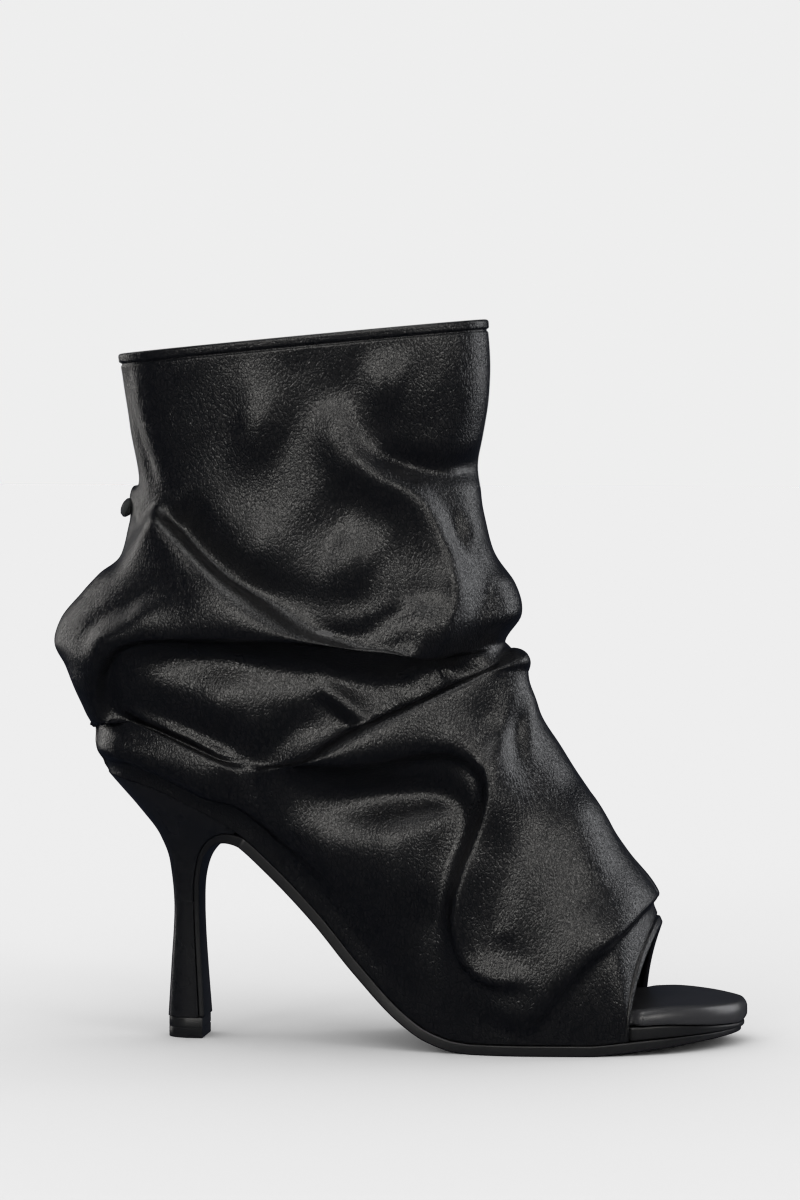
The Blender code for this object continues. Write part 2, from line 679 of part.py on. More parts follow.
def build_outsole():
    """The thin sole from the toe up the arch, turned down the heel's breast to the tip."""
    feather = feather_turns()
    leaves = turn_of(SEAT_LEAVES_ALONG)
    back = np.append(leaves, feather[feather > leaves + LEAST_TURN])
    turns = np.concatenate((back, np.linspace(feather[-1], 1, TOE_STEPS + 1)[1:]))[::-1]
    outer, inner = outsole_side(turns, "outer", 1), outsole_side(turns, "inner", -1)
    shares = np.linspace(0, 1, FLAP_ROWS + 1)[1:]
    across = np.linspace(0, 1, SOLE_COLUMNS + 1)
    upper_rows, lower_rows = [], []
    for left, right in zip(outer[1:], inner[1:]):
        plan = left + (right - left) * across[:, None]
        upper_rows.append(on_last(plan[:, 0], plan[:, 1], 0 * plan[:, 0]))
        lower_rows.append(on_last(plan[:, 0], plan[:, 1], -outsole_thickness(plan[:, 0])))
    places, normals, outer_width, inner_width = flap_places(shares)
    thin = OUTSOLE_THICKNESS + (BREAST_FLAP - OUTSOLE_THICKNESS) * soft_step(shares / FLAP_THINS_BY)
    for place, normal, left, right, depth in zip(places, normals, outer_width, inner_width, thin):
        y = left + (right - left) * across
        face = np.stack((place[0] + 0 * y, y, place[1] + 0 * y), axis=1)
        upper_rows.append(face)
        lower_rows.append(face - np.array((normal[0], 0, normal[1])) * depth)
    tip = (outer[:1] + inner[:1]) / 2
    depths = (0 * tip[:, 0], outsole_thickness(tip[:, 0]))
    tip_points = [on_last(tip[:, 0], tip[:, 1], -depth) for depth in depths]
    return strip_solid("outsole", upper_rows, lower_rows, tip_points, BLACK_SOLE)


def strip_solid(name, upper_rows, lower_rows, tip_points, look):
    """A strip with two faces, closed along its sides, across its end and in a point at its start."""
    rows, columns = len(upper_rows), len(upper_rows[0])
    count = rows * columns
    points = np.concatenate(upper_rows + lower_rows + tip_points)
    grid = faces_of_grid(rows, columns, False)
    faces = grid + [tuple(count + k for k in face[::-1]) for face in grid]
    for i in range(rows - 1):
        for j in (0, columns - 1):
            a, b = i * columns + j, (i + 1) * columns + j
            faces.append((a, b, count + b, count + a))
    upper_tip, lower_tip = 2 * count, 2 * count + 1
    for j in range(columns - 1):
        end = (rows - 1) * columns + j
        faces.append((end, end + 1, count + end + 1, count + end))
        faces.append((upper_tip, j, j + 1))
        faces.append((lower_tip, count + j, count + j + 1))
    faces.append((upper_tip, lower_tip, count, 0))
    faces.append((upper_tip, columns - 1, count + columns - 1, lower_tip))
    return solid(name, points, faces, look, FIRM_EDGE)


def seat_shape():
    """The seat's outline behind the breast, as shares of its depth and of its width at the breast."""
    breast = turn_of(BREAST_ALONG)
    feather = feather_turns()
    turns = np.append(feather[feather < breast - LEAST_TURN], breast)[::-1]
    outer, inner = outline_side(turns, "outer"), outline_side(turns, "inner")
    depth = (outer[0, 0] - outer[:, 0]) / (outer[0, 0] - outer[-1, 0])
    deep = np.concatenate((depth, depth[-2::-1]))
    wide = np.concatenate((outer[:, 1] / -outer[0, 1], (inner[:, 1] / inner[0, 1])[-2::-1]))
    return deep, wide


def heel_ring(step):
    """One section of the heel at a step from its foot, 0, to under the seat, 1."""
    back, up, flare = (float(table(HEEL, name, step, by="step")) for name in ("back", "rise", "flare"))
    foot = TIP_HEIGHT + GAP
    seat_back = float(along(OUTLINE[0].along))
    back_x = TIP_DEPTH * back * (1 - flare) + seat_back * flare
    back_z = foot + (float(last_height(seat_back)) - foot) * up
    breast = flap_share_at(along(BREAST_ALONG))
    place, normal, outer, inner = flap_places(np.array([breast + (1 - breast) * (1 - step)]))
    front_x, front_z = place[0] + normal[0] * GAP
    deep, wide = seat_shape()
    swing = np.linspace(0, math.pi, len(deep))
    side_to_side = -np.sign(np.cos(swing)) * np.abs(np.cos(swing)) ** HEEL_SQUARENESS
    deep = np.sin(swing) ** HEEL_SQUARENESS * (1 - flare) + deep * flare
    wide = side_to_side * (1 - flare) + wide * flare
    x = front_x + (back_x - front_x) * deep
    y = np.where(wide < 0, -outer[0], inner[0]) * wide
    z = front_z + (back_z - front_z) * deep
    bow = last_height(x) - (last_height(front_x) + (last_height(back_x) - last_height(front_x)) * deep)
    side = np.stack((x, y, z + bow * flare), axis=1)
    across = np.linspace(0, 1, HEEL_BREAST_STEPS + 1)[1:-1, None]
    return np.concatenate((side, side[-1] + (side[0] - side[-1]) * across))


def seat_ring(below):
    """The heel's top edge on the last, straight above the ring under it."""
    ring = below.copy()
    ring[:, 2] = last_height(ring[:, 0])
    return ring


def flap_share_at(x):
    """The share along the breast flap where it first passes a distance along the foot."""
    fine = flap_path()
    reach = arc_shares(fine)
    return float(reach[np.argmax(fine[:, 0] <= x)])


def build_heel():
    """The covered heel, lofted from its foot to the seat."""
    steps = np.linspace(0, 1, HEEL_ROWS)
    rings = [heel_ring(step) for step in steps]
    rings[-1] = (rings[-1] + rings[-2]) / 2
    rings.append(seat_ring(heel_ring(1.0)))
    count = len(rings[0])
    faces = faces_of_grid(len(rings), count, True)
    faces.append(tuple(range(count))[::-1])
    faces += seat_faces((len(rings) - 1) * count, count)
    return solid("heel", np.concatenate(rings), faces, BLACK_LEATHER, FIRM_EDGE)


def seat_faces(start, count):
    """Rungs across the seat from the breast to the back."""
    side = count - HEEL_BREAST_STEPS
    half = side // 2
    breast = [start + side + k for k in range(1, HEEL_BREAST_STEPS)]
    faces = [tuple([start, start + 1, start + side - 1, start + side] + breast)]
    for i in range(1, half - 1):
        faces.append((start + i, start + i + 1, start + side - i - 1, start + side - i))
    faces.append((start + half - 1, start + half, start + half + 1))
    return faces


def build_tip():
    """The top lift that stands on the floor."""
    ring = heel_ring(0.0)[:, :2][:1 - HEEL_BREAST_STEPS]
    front = TIP_DEPTH / 2
    ring = ring + np.array((TIP_INSET, 0)) * np.sign(-ring)
    ring[0, 0] = front - TIP_INSET
    ring[-1, 0] = front - TIP_INSET
    rings = [np.column_stack((ring, np.full(len(ring), z))) for z in (0.0, TIP_HEIGHT)]
    count = len(ring)
    faces = faces_of_grid(2, count, True)
    faces += [tuple(range(count))[::-1], tuple(range(count, 2 * count))]
    return solid("heel_tip", np.concatenate(rings), faces, BLACK_RUBBER, CRISP_EDGE)


def build_stud():
    """A small domed stud on the back of the shaft, where the pleat is tacked."""
    base, normal, length = upper_base()
    back = base[:, 0] + normal[:, 0] * leather_relief(base, length)[:, :1]
    row = int(np.argmax(back[:, 2] > rise(STUD_RISE)))
    share = (rise(STUD_RISE) - back[row - 1, 2]) / (back[row, 2] - back[row - 1, 2])
    run = back[row] - back[row - 1]
    axis = np.array((-run[2], 0.0, run[0])) / np.hypot(run[0], run[2])
    seat = back[row - 1] + run * share + axis * STUD_LIFT
    sideways = np.array((0.0, 1.0, 0.0))
    upward = np.cross(axis, sideways)
    turns = np.arange(STUD_TURNS) * 2 * math.pi / STUD_TURNS
    spin = np.cos(turns)[:, None] * sideways + np.sin(turns)[:, None] * upward
    rings = [seat + axis * STUD_HEIGHT * ring.height + spin * STUD_DIAMETER / 2 * ring.radius
             for ring in STUD_DOME]
    points = np.concatenate(rings + [(seat + axis * STUD_HEIGHT)[None]])
    faces = faces_of_grid(len(rings), STUD_TURNS, True)
    faces.append(tuple(range(STUD_TURNS))[::-1])
    top = (len(rings) - 1) * STUD_TURNS
    peak = len(points) - 1
    faces += [(top + j, top + (j + 1) % STUD_TURNS, peak) for j in range(STUD_TURNS)]
    return solid("pleat_stud", points, faces, DARK_METAL, SOFT_EDGE)


for old in list(bpy.data.objects):
    bpy.data.objects.remove(old)

build_outsole()
build_board()
build_sock()
build_upper()
build_heel()
build_tip()
build_stud()
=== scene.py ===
# %% [markdown]
# # A slouched peep toe ankle boot, dressed
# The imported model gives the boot's solids and their places. This lesson builds the leather that
# someone would see: a soft skin with real folds, a padded sock, a thin sole and a covered heel.
# Every length is in metres, +X points to the toe, -Y is the outer side and the floor is z = 0.

# %% Load the frame
import math
from collections import namedtuple

import bpy
import numpy as np
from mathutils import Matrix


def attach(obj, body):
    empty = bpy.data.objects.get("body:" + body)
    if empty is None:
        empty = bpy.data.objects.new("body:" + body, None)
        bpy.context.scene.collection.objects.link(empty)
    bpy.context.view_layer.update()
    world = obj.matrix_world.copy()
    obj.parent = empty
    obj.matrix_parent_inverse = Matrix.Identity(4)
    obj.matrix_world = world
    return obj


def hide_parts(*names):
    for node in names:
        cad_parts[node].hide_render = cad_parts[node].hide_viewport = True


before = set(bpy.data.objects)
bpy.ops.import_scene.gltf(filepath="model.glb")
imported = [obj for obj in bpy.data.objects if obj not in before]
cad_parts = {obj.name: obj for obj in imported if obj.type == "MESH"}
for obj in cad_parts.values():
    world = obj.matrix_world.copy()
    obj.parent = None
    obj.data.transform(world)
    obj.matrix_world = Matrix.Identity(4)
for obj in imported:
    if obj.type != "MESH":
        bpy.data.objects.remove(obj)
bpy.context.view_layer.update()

print("solids:", sorted(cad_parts))

# %% [markdown]
# The shoe's own sizes come first. They repeat the solids' sizes, because the visible pieces have to
# lie where the solids are. Tables hold shares of these sizes, so each row says where a section lies
# along the foot, and how high or wide it is there.

# %% The shoe's sizes
FOOT_LENGTH = 0.226
BALL_WIDTH = 0.085
COUNTER_BEHIND_TIP = 0.0294
HEEL_HEIGHT = 0.094
SHAFT_HEIGHT = 0.152
TOE_SPRING = 0.0022
LEATHER = 0.002
OUTSOLE_THICKNESS = 0.0035
GAP = 0.0003
RIM_ALONG = 0.832
RIM_HEIGHT = 0.0365
RIM_LEAN = 0.0085
RIM_FULLNESS = 1.7
RIM_CURL = 2.0
SIDE_BULGE = 0.004
END_BULGE_SHARE = 0.35
WALL_UPRIGHT = 0.012
WALL_UPRIGHT_SHARE = 0.3
WALL_BULGE_SHARE = 0.2
UPRIGHTNESS = 0.6
SECTION_FULLNESS = 2.15
SLOPE_STEP = 0.0005


def rows_of(names, rows):
    """A table: rows of values under the names of their columns."""
    kind = namedtuple("Row", names)
    return [kind(*row) for row in rows]


LAST = rows_of("along arch spring", (
    (0.0, 1.0, 0.0), (0.08, 0.952, 0.0), (0.16, 0.868, 0.0), (0.23, 0.768, 0.0), (0.283, 0.652, 0.0),
    (0.354, 0.47, 0.0), (0.42, 0.275, 0.0), (0.486, 0.108, 0.0), (0.53, 0.036, 0.0), (0.57, 0.006, 0.0),
    (0.6, 0.0, 0.0), (0.77, 0.0, 0.0), (0.83, 0.0, 0.45), (0.88, 0.0, 0.8), (0.94, 0.0, 1.0),
    (1.0, 0.0, 1.02),
))
OUTLINE = rows_of("along outer inner", (
    (0.007, 0.0, 0.0), (0.022, -0.165, 0.16), (0.072, -0.27, 0.262), (0.16, -0.315, 0.3),
    (0.3, -0.335, 0.295), (0.43, -0.375, 0.325), (0.55, -0.45, 0.425), (0.66, -0.5, 0.495),
    (0.77, -0.485, 0.505), (0.86, -0.415, 0.46), (0.935, -0.285, 0.375), (0.98, -0.12, 0.26),
    (1.0, 0.08, 0.08),
))
SECTIONS = rows_of("rise lean back front outer inner", (
    (1.125, 0.053, 0.002, 0.673, 0.405, 0.4), (1.18, 0.057, -0.017, 0.648, 0.42, 0.415),
    (1.25, 0.02, -0.057, 0.639, 0.435, 0.435), (1.293, 0.0, -0.075, 0.62, 0.445, 0.445),
    (1.353, 0.023, -0.068, 0.649, 0.455, 0.455), (1.424, 0.02, -0.032, 0.641, 0.45, 0.45),
    (1.5, 0.026, 0.011, 0.608, 0.43, 0.43), (1.576, 0.033, 0.031, 0.595, 0.405, 0.405),
    (1.664, 0.06, 0.054, 0.589, 0.385, 0.385), (1.829, 0.072, 0.041, 0.603, 0.37, 0.37),
    (2.0, 0.08, 0.024, 0.598, 0.365, 0.365),
))
print("sections of the shaft:", len(SECTIONS))

# %% [markdown]
# Two kinds of curve join a table's rows. The steady one never swings past its points, so it suits
# outlines. The flowing one may, so it suits paths that turn back. Both are cubic pieces whose
# slopes come from the neighbouring points.


# %% Curves through a table's points
def column(rows, name):
    """One named column of a table as an array."""
    return np.array([getattr(row, name) for row in rows], dtype=float)


def blend(values, slopes, i, step, s):
    """The cubic from point i to the next at the share s of the way, by end values and end slopes."""
    ends = values[i] * (1 + 2 * s) * (1 - s) ** 2 + values[i + 1] * s * s * (3 - 2 * s)
    return ends + step * s * (1 - s) * (slopes[i] * (1 - s) - slopes[i + 1] * s)


def cubic(knots, values, slopes, at):
    """Cubic pieces: each blends its two end values and end slopes by the share of the way between."""
    at = np.clip(np.asarray(at, dtype=float), knots[0], knots[-1])
    i = np.clip(np.searchsorted(knots, at, side="right") - 1, 0, len(knots) - 2)
    spread = at.shape + (1,) * (values.ndim - 1)
    step = (knots[i + 1] - knots[i]).reshape(spread)
    s = ((at - knots[i]) / (knots[i + 1] - knots[i])).reshape(spread)
    return blend(values, slopes, i, step, s)


def steady(x, y, at):
    """A cubic whose inner slopes are the harmonic mean of the slopes on both sides, or 0 at a peak."""
    slope = np.diff(y) / np.diff(x)
    same = slope[:-1] * slope[1:] > 0
    total = np.where(same, slope[:-1] + slope[1:], 1.0)
    inner = np.where(same, 2 * slope[:-1] * slope[1:] / total, 0.0)
    return cubic(x, y, np.concatenate((slope[:1], inner, slope[-1:])), at)


def mean_slopes(steps, points):
    """Slopes at points: the mean of the slopes on both sides, weighted by the other side's length."""
    slope = np.diff(points, axis=0) / steps
    inner = (slope[:-1] * steps[1:] + slope[1:] * steps[:-1]) / (steps[1:] + steps[:-1])
    return np.concatenate((slope[:1], inner, slope[-1:]))


def flowing(knots, points, at):
    """A cubic through points, whose slopes are those weighted means."""
    steps = np.diff(knots).reshape((-1,) + (1,) * (points.ndim - 1))
    return cubic(knots, points, mean_slopes(steps, points), at)


def table(rows, name, at, by="along"):
    """A table's column read at any place along another column."""
    return steady(column(rows, by), column(rows, name), at)


def along(share):
    """Distance along the foot from the origin: the share of its length, less the heel's overhang."""
    return np.asarray(share) * FOOT_LENGTH - COUNTER_BEHIND_TIP


def share_along(x):
    """The share of the foot's length at a distance along it."""
    return (np.asarray(x) + COUNTER_BEHIND_TIP) / FOOT_LENGTH


def rise(share):
    """Height: 0 to 1 runs from the floor to the heel seat, 1 to 2 from the seat to the collar."""
    share = np.asarray(share)
    return np.minimum(share, 1) * HEEL_HEIGHT + np.maximum(share - 1, 0) * SHAFT_HEIGHT


def last_height(x):
    """Height of the last's bottom edge: the outsole's thickness, plus the arch, plus the toe spring."""
    share = share_along(x)
    arch = (HEEL_HEIGHT - OUTSOLE_THICKNESS) * table(LAST, "arch", share)
    return OUTSOLE_THICKNESS + arch + TOE_SPRING * table(LAST, "spring", share)


def on_last(x, y, height):
    """A point on the last's bottom edge, moved along the edge's normal by a height."""
    slope = (last_height(x + SLOPE_STEP) - last_height(x - SLOPE_STEP)) / (2 * SLOPE_STEP)
    length = np.sqrt(1 + slope ** 2)
    return np.stack((x - height * slope / length, y + 0 * x, last_height(x) + height / length), axis=-1)


def turn_of(share):
    """Turns from heel to toe, the arc cosine of the share, so that both round ends are finely stepped."""
    start = OUTLINE[0].along
    return np.arccos(1 - 2 * (np.asarray(share) - start) / (1 - start)) / math.pi


def outline_side(turn, side):
    """The outline's plan on one side, at turns from 0 at the heel to 1 at the toe."""
    start = OUTLINE[0].along
    share = start + (1 - start) * (1 - np.cos(math.pi * turn)) / 2
    turns = turn_of(column(OUTLINE, "along"))
    across = steady(turns, column(OUTLINE, side), turn) * BALL_WIDTH
    return np.stack((along(share), across), axis=1)


def arc_shares(points):
    """How far along an open line each point is: the summed steps over the whole length."""
    length = np.concatenate(([0.0], np.cumsum(np.linalg.norm(np.diff(points, axis=0), axis=1))))
    return length / length[-1]


def unit(vectors):
    """Vectors over their own lengths."""
    return vectors / np.linalg.norm(vectors, axis=-1, keepdims=True)


def soft_step(value):
    """A smooth change from 0 to 1, three squares less two cubes of the value."""
    value = np.clip(value, 0, 1)
    return value * value * (3 - 2 * value)


print("the last's edge is", round(float(last_height(0.0)) * 1000, 1), "mm high over the heel tip")

# %% [markdown]
# Every piece is a grid of points. One helper turns such a grid into a mesh: rows and columns of
# quads, whose columns may close round the shoe. Writing whole arrays into the mesh is far quicker
# than adding faces one at a time.


# %% From a grid to a mesh
def grid_quads(rows, columns, closed):
    """Corner numbers of the quads between neighbouring rows and columns."""
    last = columns if closed else columns - 1
    i, j = np.meshgrid(np.arange(rows - 1), np.arange(last), indexing="ij")
    right = (j + 1) % columns
    below, above = i * columns, (i + 1) * columns
    quads = np.stack((below + j, below + right, above + right, above + j), axis=-1)
    return quads.reshape(-1, 4)


def add_object(name, data):
    """A new object that shows some data, in the scene."""
    thing = bpy.data.objects.new(name, data)
    bpy.context.scene.collection.objects.link(thing)
    return thing


def piece_from(name, points, quads, material, extra=()):
    """A smooth object from points and quads, with any further faces as lists of corners."""
    mesh = bpy.data.meshes.new(name)
    mesh.from_pydata(np.asarray(points, dtype=float).tolist(), [], quads.tolist() + [list(f) for f in extra])
    mesh.shade_smooth()
    mesh.materials.append(material)
    piece = add_object(name, mesh)
    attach(piece, "root")
    return piece


# %% [markdown]
# ## The camera, the floor and the lights
# The photograph was taken from far away with a long lens, a little above the floor and seven
# degrees toward the toe. Big soft lamps give black leather its broad, pale sheens. The world is
# bright where the camera looks, and dim and bluish where the leather looks, as in a studio with a
# lit backdrop.

# %% Camera
LOOK_AT = (0.0752, 0.0, 0.154)
CAMERA_DISTANCE = 1.8
CAMERA_TURN = math.radians(7.0)
CAMERA_HEIGHT = 0.237
LENS_MM = 154.3
SENSOR_MM = 36.0
climb = math.asin((CAMERA_HEIGHT - LOOK_AT[2]) / CAMERA_DISTANCE)
eye = (
    LOOK_AT[0] + CAMERA_DISTANCE * math.sin(CAMERA_TURN) * math.cos(climb),
    LOOK_AT[1] - CAMERA_DISTANCE * math.cos(CAMERA_TURN) * math.cos(climb),
    CAMERA_HEIGHT,
)
camera_data = bpy.data.cameras.new("camera")
camera_data.lens = LENS_MM
camera_data.sensor_width = SENSOR_MM
camera_data.sensor_height = SENSOR_MM
camera_data.sensor_fit = "VERTICAL"
camera = add_object("camera", camera_data)
camera.location = eye
camera.rotation_euler = (math.pi / 2 - climb, 0.0, CAMERA_TURN)
bpy.context.scene.camera = camera
print("camera at", [round(v, 3) for v in eye])

# %% Backdrop, floor and lamps
bpy.context.scene.view_settings.view_transform = "Standard"
BACKDROP = 0.855
WORLD_ON_FLOOR = 3.0
WORLD_IN_GLOSS = 0.025
WHITE = (1.0, 1.0, 1.0, 1.0)
BLUE_IN_GLOSS = (0.72, 0.88, 1.35, 1.0)
PAPER = (0.75, 0.75, 0.75, 1.0)
PAPER_ROUGHNESS = 0.8
FLOOR_REACH = 8.0
WARM = (1.0, 0.975, 0.93)


def feed(tree, sockets, values):
    """Give inputs, by name or number, their values: a number, a colour or another node's output."""
    for slot, value in values.items():
        if isinstance(value, bpy.types.NodeSocket):
            tree.links.new(value, sockets[slot])
        else:
            sockets[slot].default_value = value


def new_node(tree, kind, inputs, **settings):
    """A shader node with its settings made and its inputs fed."""
    node = tree.nodes.new("ShaderNode" + kind)
    for name, value in settings.items():
        setattr(node, name, value)
    feed(tree, node.inputs, inputs)
    return node


def mixed_number(tree, chooser, low, high):
    """The low number where the chooser is 0 and the high one where it is 1."""
    return new_node(tree, "Mix", {0: chooser, 2: low, 3: high}, data_type="FLOAT").outputs[0]


def mixed_colour(tree, chooser, low, high):
    """The low colour where the chooser is 0 and the high one where it is 1."""
    return new_node(tree, "Mix", {0: chooser, 6: low, 7: high}, data_type="RGBA").outputs[2]


world = bpy.data.worlds.new("studio")
world.use_nodes = True
bpy.context.scene.world = world
studio = world.node_tree
ray = new_node(studio, "LightPath", {}).outputs
tint = mixed_colour(studio, ray["Is Glossy Ray"], WHITE, BLUE_IN_GLOSS)
unseen = mixed_number(studio, ray["Is Glossy Ray"], WORLD_ON_FLOOR, WORLD_IN_GLOSS)
strength = mixed_number(studio, ray["Is Camera Ray"], unseen, BACKDROP)
feed(studio, studio.nodes["Background"].inputs, {"Color": tint, "Strength": strength})

floor_look = bpy.data.materials.new("studio_floor")
floor_look.use_nodes = True
paper = floor_look.node_tree.nodes["Principled BSDF"]
feed(floor_look.node_tree, paper.inputs, {"Base Color": PAPER, "Roughness": PAPER_ROUGHNESS})
corners = np.array([(-1, -1, 0), (1, -1, 0), (1, 1, 0), (-1, 1, 0)], dtype=float) * FLOOR_REACH
floor_mesh = bpy.data.meshes.new("floor")
floor_mesh.from_pydata(corners.tolist(), [], [(0, 1, 2, 3)])
floor_mesh.materials.append(floor_look)
floor = add_object("floor", floor_mesh)
floor.is_shadow_catcher = True
floor.visible_glossy = False

LAMPS = rows_of("name place width height power tint", (
    ("key_left", (-0.52, -1.33, 0.76), 0.30, 0.50, 5.0, WARM),
    ("key_right", (1.13, -0.93, 0.80), 0.30, 0.50, 5.0, WARM),
    ("front", (0.10, -1.25, 1.10), 0.45, 0.30, 4.5, WARM),
    ("overhead", (0.15, -0.20, 1.30), 0.70, 0.40, 3.5, (1.0, 0.99, 0.97)),
    ("rim_left", (-1.00, 0.75, 0.40), 0.30, 0.90, 2.5, (1.0, 0.97, 0.93)),
    ("rim_right", (1.15, 0.65, 0.50), 0.30, 0.90, 4.0, (0.97, 0.98, 1.0)),
))
SHOE_MIDDLE = np.array((0.075, 0.0, 0.11))
for lamp in LAMPS:
    data = bpy.data.lights.new(lamp.name, "AREA")
    data.shape = "RECTANGLE"
    data.size, data.size_y = lamp.width, lamp.height
    data.energy, data.color = lamp.power, lamp.tint
    light = add_object(lamp.name, data)
    light.location = lamp.place
    aim = SHOE_MIDDLE - np.array(lamp.place)
    flat = math.hypot(aim[0], aim[1])
    light.rotation_euler = (math.atan2(flat, -aim[2]), 0.0, math.atan2(-aim[0], aim[1]))
print("lamps:", len(LAMPS))

# %% [markdown]
# ## Finishes
# Black leather is nearly all gloss: its colour is close to nothing, and what the eye reads is the
# broken reflection of the lamps. The grain is a net of fine wrinkles, so it is built as a group that
# several finishes share: cells with dark seams between them, bent by noise, over a finer net.


# %% The leather grain group
BEND_NOISE = (180.0, 2.0, 0.5)
BEND_BY = 0.0014
COARSE_SEAM = 0.22
FINE_SEAM = 0.3
FINER_BY = 2.3
FINE_SHARE = 0.35
PATCH_NOISE = (42.0, 3.0, 0.6)
SOCKETS = (
    ("Vector", "INPUT", "Vector"), ("Cells per metre", "INPUT", "Float"), ("Patchiness", "INPUT", "Float"),
    ("Height", "OUTPUT", "Float"), ("Seams", "OUTPUT", "Float"), ("Patches", "OUTPUT", "Float"),
)


def math_node(tree, operation, *values, clamp=False):
    """A Math node over numbers and other nodes' outputs."""
    return new_node(tree, "Math", dict(enumerate(values)), operation=operation, use_clamp=clamp).outputs[0]


def noise(tree, place, waves, detail, rough):
    """A Noise texture read at a place, with so many waves per metre."""
    inputs = {"Vector": place, "Scale": waves, "Detail": detail, "Roughness": rough}
    return new_node(tree, "TexNoise", inputs).outputs


def seam_net(tree, place, cells, width):
    """Cells with seams: the distance to the nearest cell edge, over the seam's width, up to 1."""
    net = new_node(tree, "TexVoronoi", {"Vector": place, "Scale": cells}, feature="DISTANCE_TO_EDGE")
    return math_node(tree, "DIVIDE", net.outputs["Distance"], width, clamp=True)


def grain_group():
    """Leather grain: a bent net of wrinkles, a finer net inside it, and slow patches of wear."""
    group = bpy.data.node_groups.new("leather grain", "ShaderNodeTree")
    for label, way, kind in SOCKETS:
        group.interface.new_socket(label, in_out=way, socket_type="NodeSocket" + kind)
    given = group.nodes.new("NodeGroupInput").outputs
    place, cells = given["Vector"], given["Cells per metre"]
    bend = {0: noise(group, place, *BEND_NOISE)["Color"], 1: (BEND_BY,) * 3, 2: place}
    bent = new_node(group, "VectorMath", bend, operation="MULTIPLY_ADD").outputs[0]
    coarse = seam_net(group, bent, cells, COARSE_SEAM)
    fine = seam_net(group, bent, math_node(group, "MULTIPLY", cells, FINER_BY), FINE_SEAM)
    spread = math_node(group, "SUBTRACT", noise(group, place, *PATCH_NOISE)["Fac"], 0.5)
    patch = math_node(group, "MULTIPLY_ADD", spread, given["Patchiness"], 0.5, clamp=True)
    worn = math_node(group, "MULTIPLY", coarse, patch)
    height = math_node(group, "MULTIPLY_ADD", fine, FINE_SHARE, worn)
    result = group.nodes.new("NodeGroupOutput").inputs
    feed(group, result, {"Height": height, "Seams": coarse, "Patches": patch})
    return group


GRAIN = grain_group()
print("grain group sockets:", len(GRAIN.interface.items_tree))


# %% The finishes
Finish = namedtuple("Finish", "dark light rough rough_spread cells stretch bump patchiness coat")
EVEN = (1.0, 1.0, 1.0)
LEATHER_FINISH = Finish(
    (0.0006, 0.0008, 0.0014), (0.0022, 0.0021, 0.0024), 0.28, 0.10, 760.0, (1.0, 1.0, 0.6), 0.0001, 0.45, 0.0)
SOCK_FINISH = Finish(
    (0.008, 0.008, 0.009), (0.013, 0.013, 0.014), 0.31, 0.06, 1500.0, EVEN, 0.00002, 0.3, 0.0)
HEEL_FINISH = Finish(
    (0.0012, 0.0013, 0.0018), (0.0034, 0.0034, 0.0038), 0.27, 0.08, 900.0, (1.0, 1.0, 0.8), 0.00003, 0.5, 0.0)
SOLE_FINISH = Finish(
    (0.0016, 0.0017, 0.0021), (0.0042, 0.0042, 0.0046), 0.38, 0.10, 1400.0, EVEN, 0.00002, 0.4, 0.0)
STUD_FINISH = Finish(
    (0.010, 0.011, 0.011), (0.014, 0.015, 0.015), 0.22, 0.04, 1500.0, EVEN, 0.00001, 0.3, 0.4)


def leather_material(name, finish):
    """A dark, glossy skin: grain drives the bump, the colour and the gloss, each between two values."""
    material = bpy.data.materials.new(name)
    material.use_nodes = True
    tree = material.node_tree
    place = new_node(tree, "TexCoord", {}).outputs["Object"]
    stretched = new_node(tree, "Mapping", {"Vector": place, "Scale": finish.stretch}).outputs[0]
    inputs = {"Vector": stretched, "Cells per metre": finish.cells, "Patchiness": finish.patchiness}
    grain = new_node(tree, "Group", inputs, node_tree=GRAIN).outputs
    roughest = finish.rough + finish.rough_spread / 2
    bump = {"Strength": 1.0, "Distance": finish.bump, "Height": grain["Height"]}
    feed(tree, tree.nodes["Principled BSDF"].inputs, {
        "Base Color": mixed_colour(tree, grain["Seams"], (*finish.dark, 1.0), (*finish.light, 1.0)),
        "Roughness": math_node(tree, "MULTIPLY_ADD", grain["Patches"], -finish.rough_spread, roughest),
        "Normal": new_node(tree, "Bump", bump).outputs[0],
        "Specular IOR Level": 0.5,
        "Coat Weight": finish.coat,
    })
    return material


leather_look = leather_material("soft_black_leather", LEATHER_FINISH)
sock_look = leather_material("satin_sock", SOCK_FINISH)
heel_look = leather_material("heel_cover", HEEL_FINISH)
sole_look = leather_material("sole_edge", SOLE_FINISH)
stud_look = leather_material("dark_enamel", STUD_FINISH)
print("finishes:", [m.name for m in (leather_look, sock_look, heel_look, sole_look, stud_look)])

# %% [markdown]
# ## The upper's smooth form
# A boot's upper is a tube pulled over a last. Its lower edge is the feather line round the sole and
# an arch over the toes. Its sections further up are rounded ovals. Smooth lines run up through
# them, and the same columns serve from the sole to the collar, so the whole skin is one grid.

# %% Loops of the smooth upper
FEATHER_STEPS = 132
RIM_STEPS = 110
LINE_SAMPLES = 721
CORNER_REACH = 22.0
MIDDLE_PASSES = 90
WALL_PASSES = 24


def feather_turns():
    """Even steps along the last's edge from the heel to the toe strap."""
    return np.linspace(0, turn_of(RIM_ALONG), FEATHER_STEPS + 1)


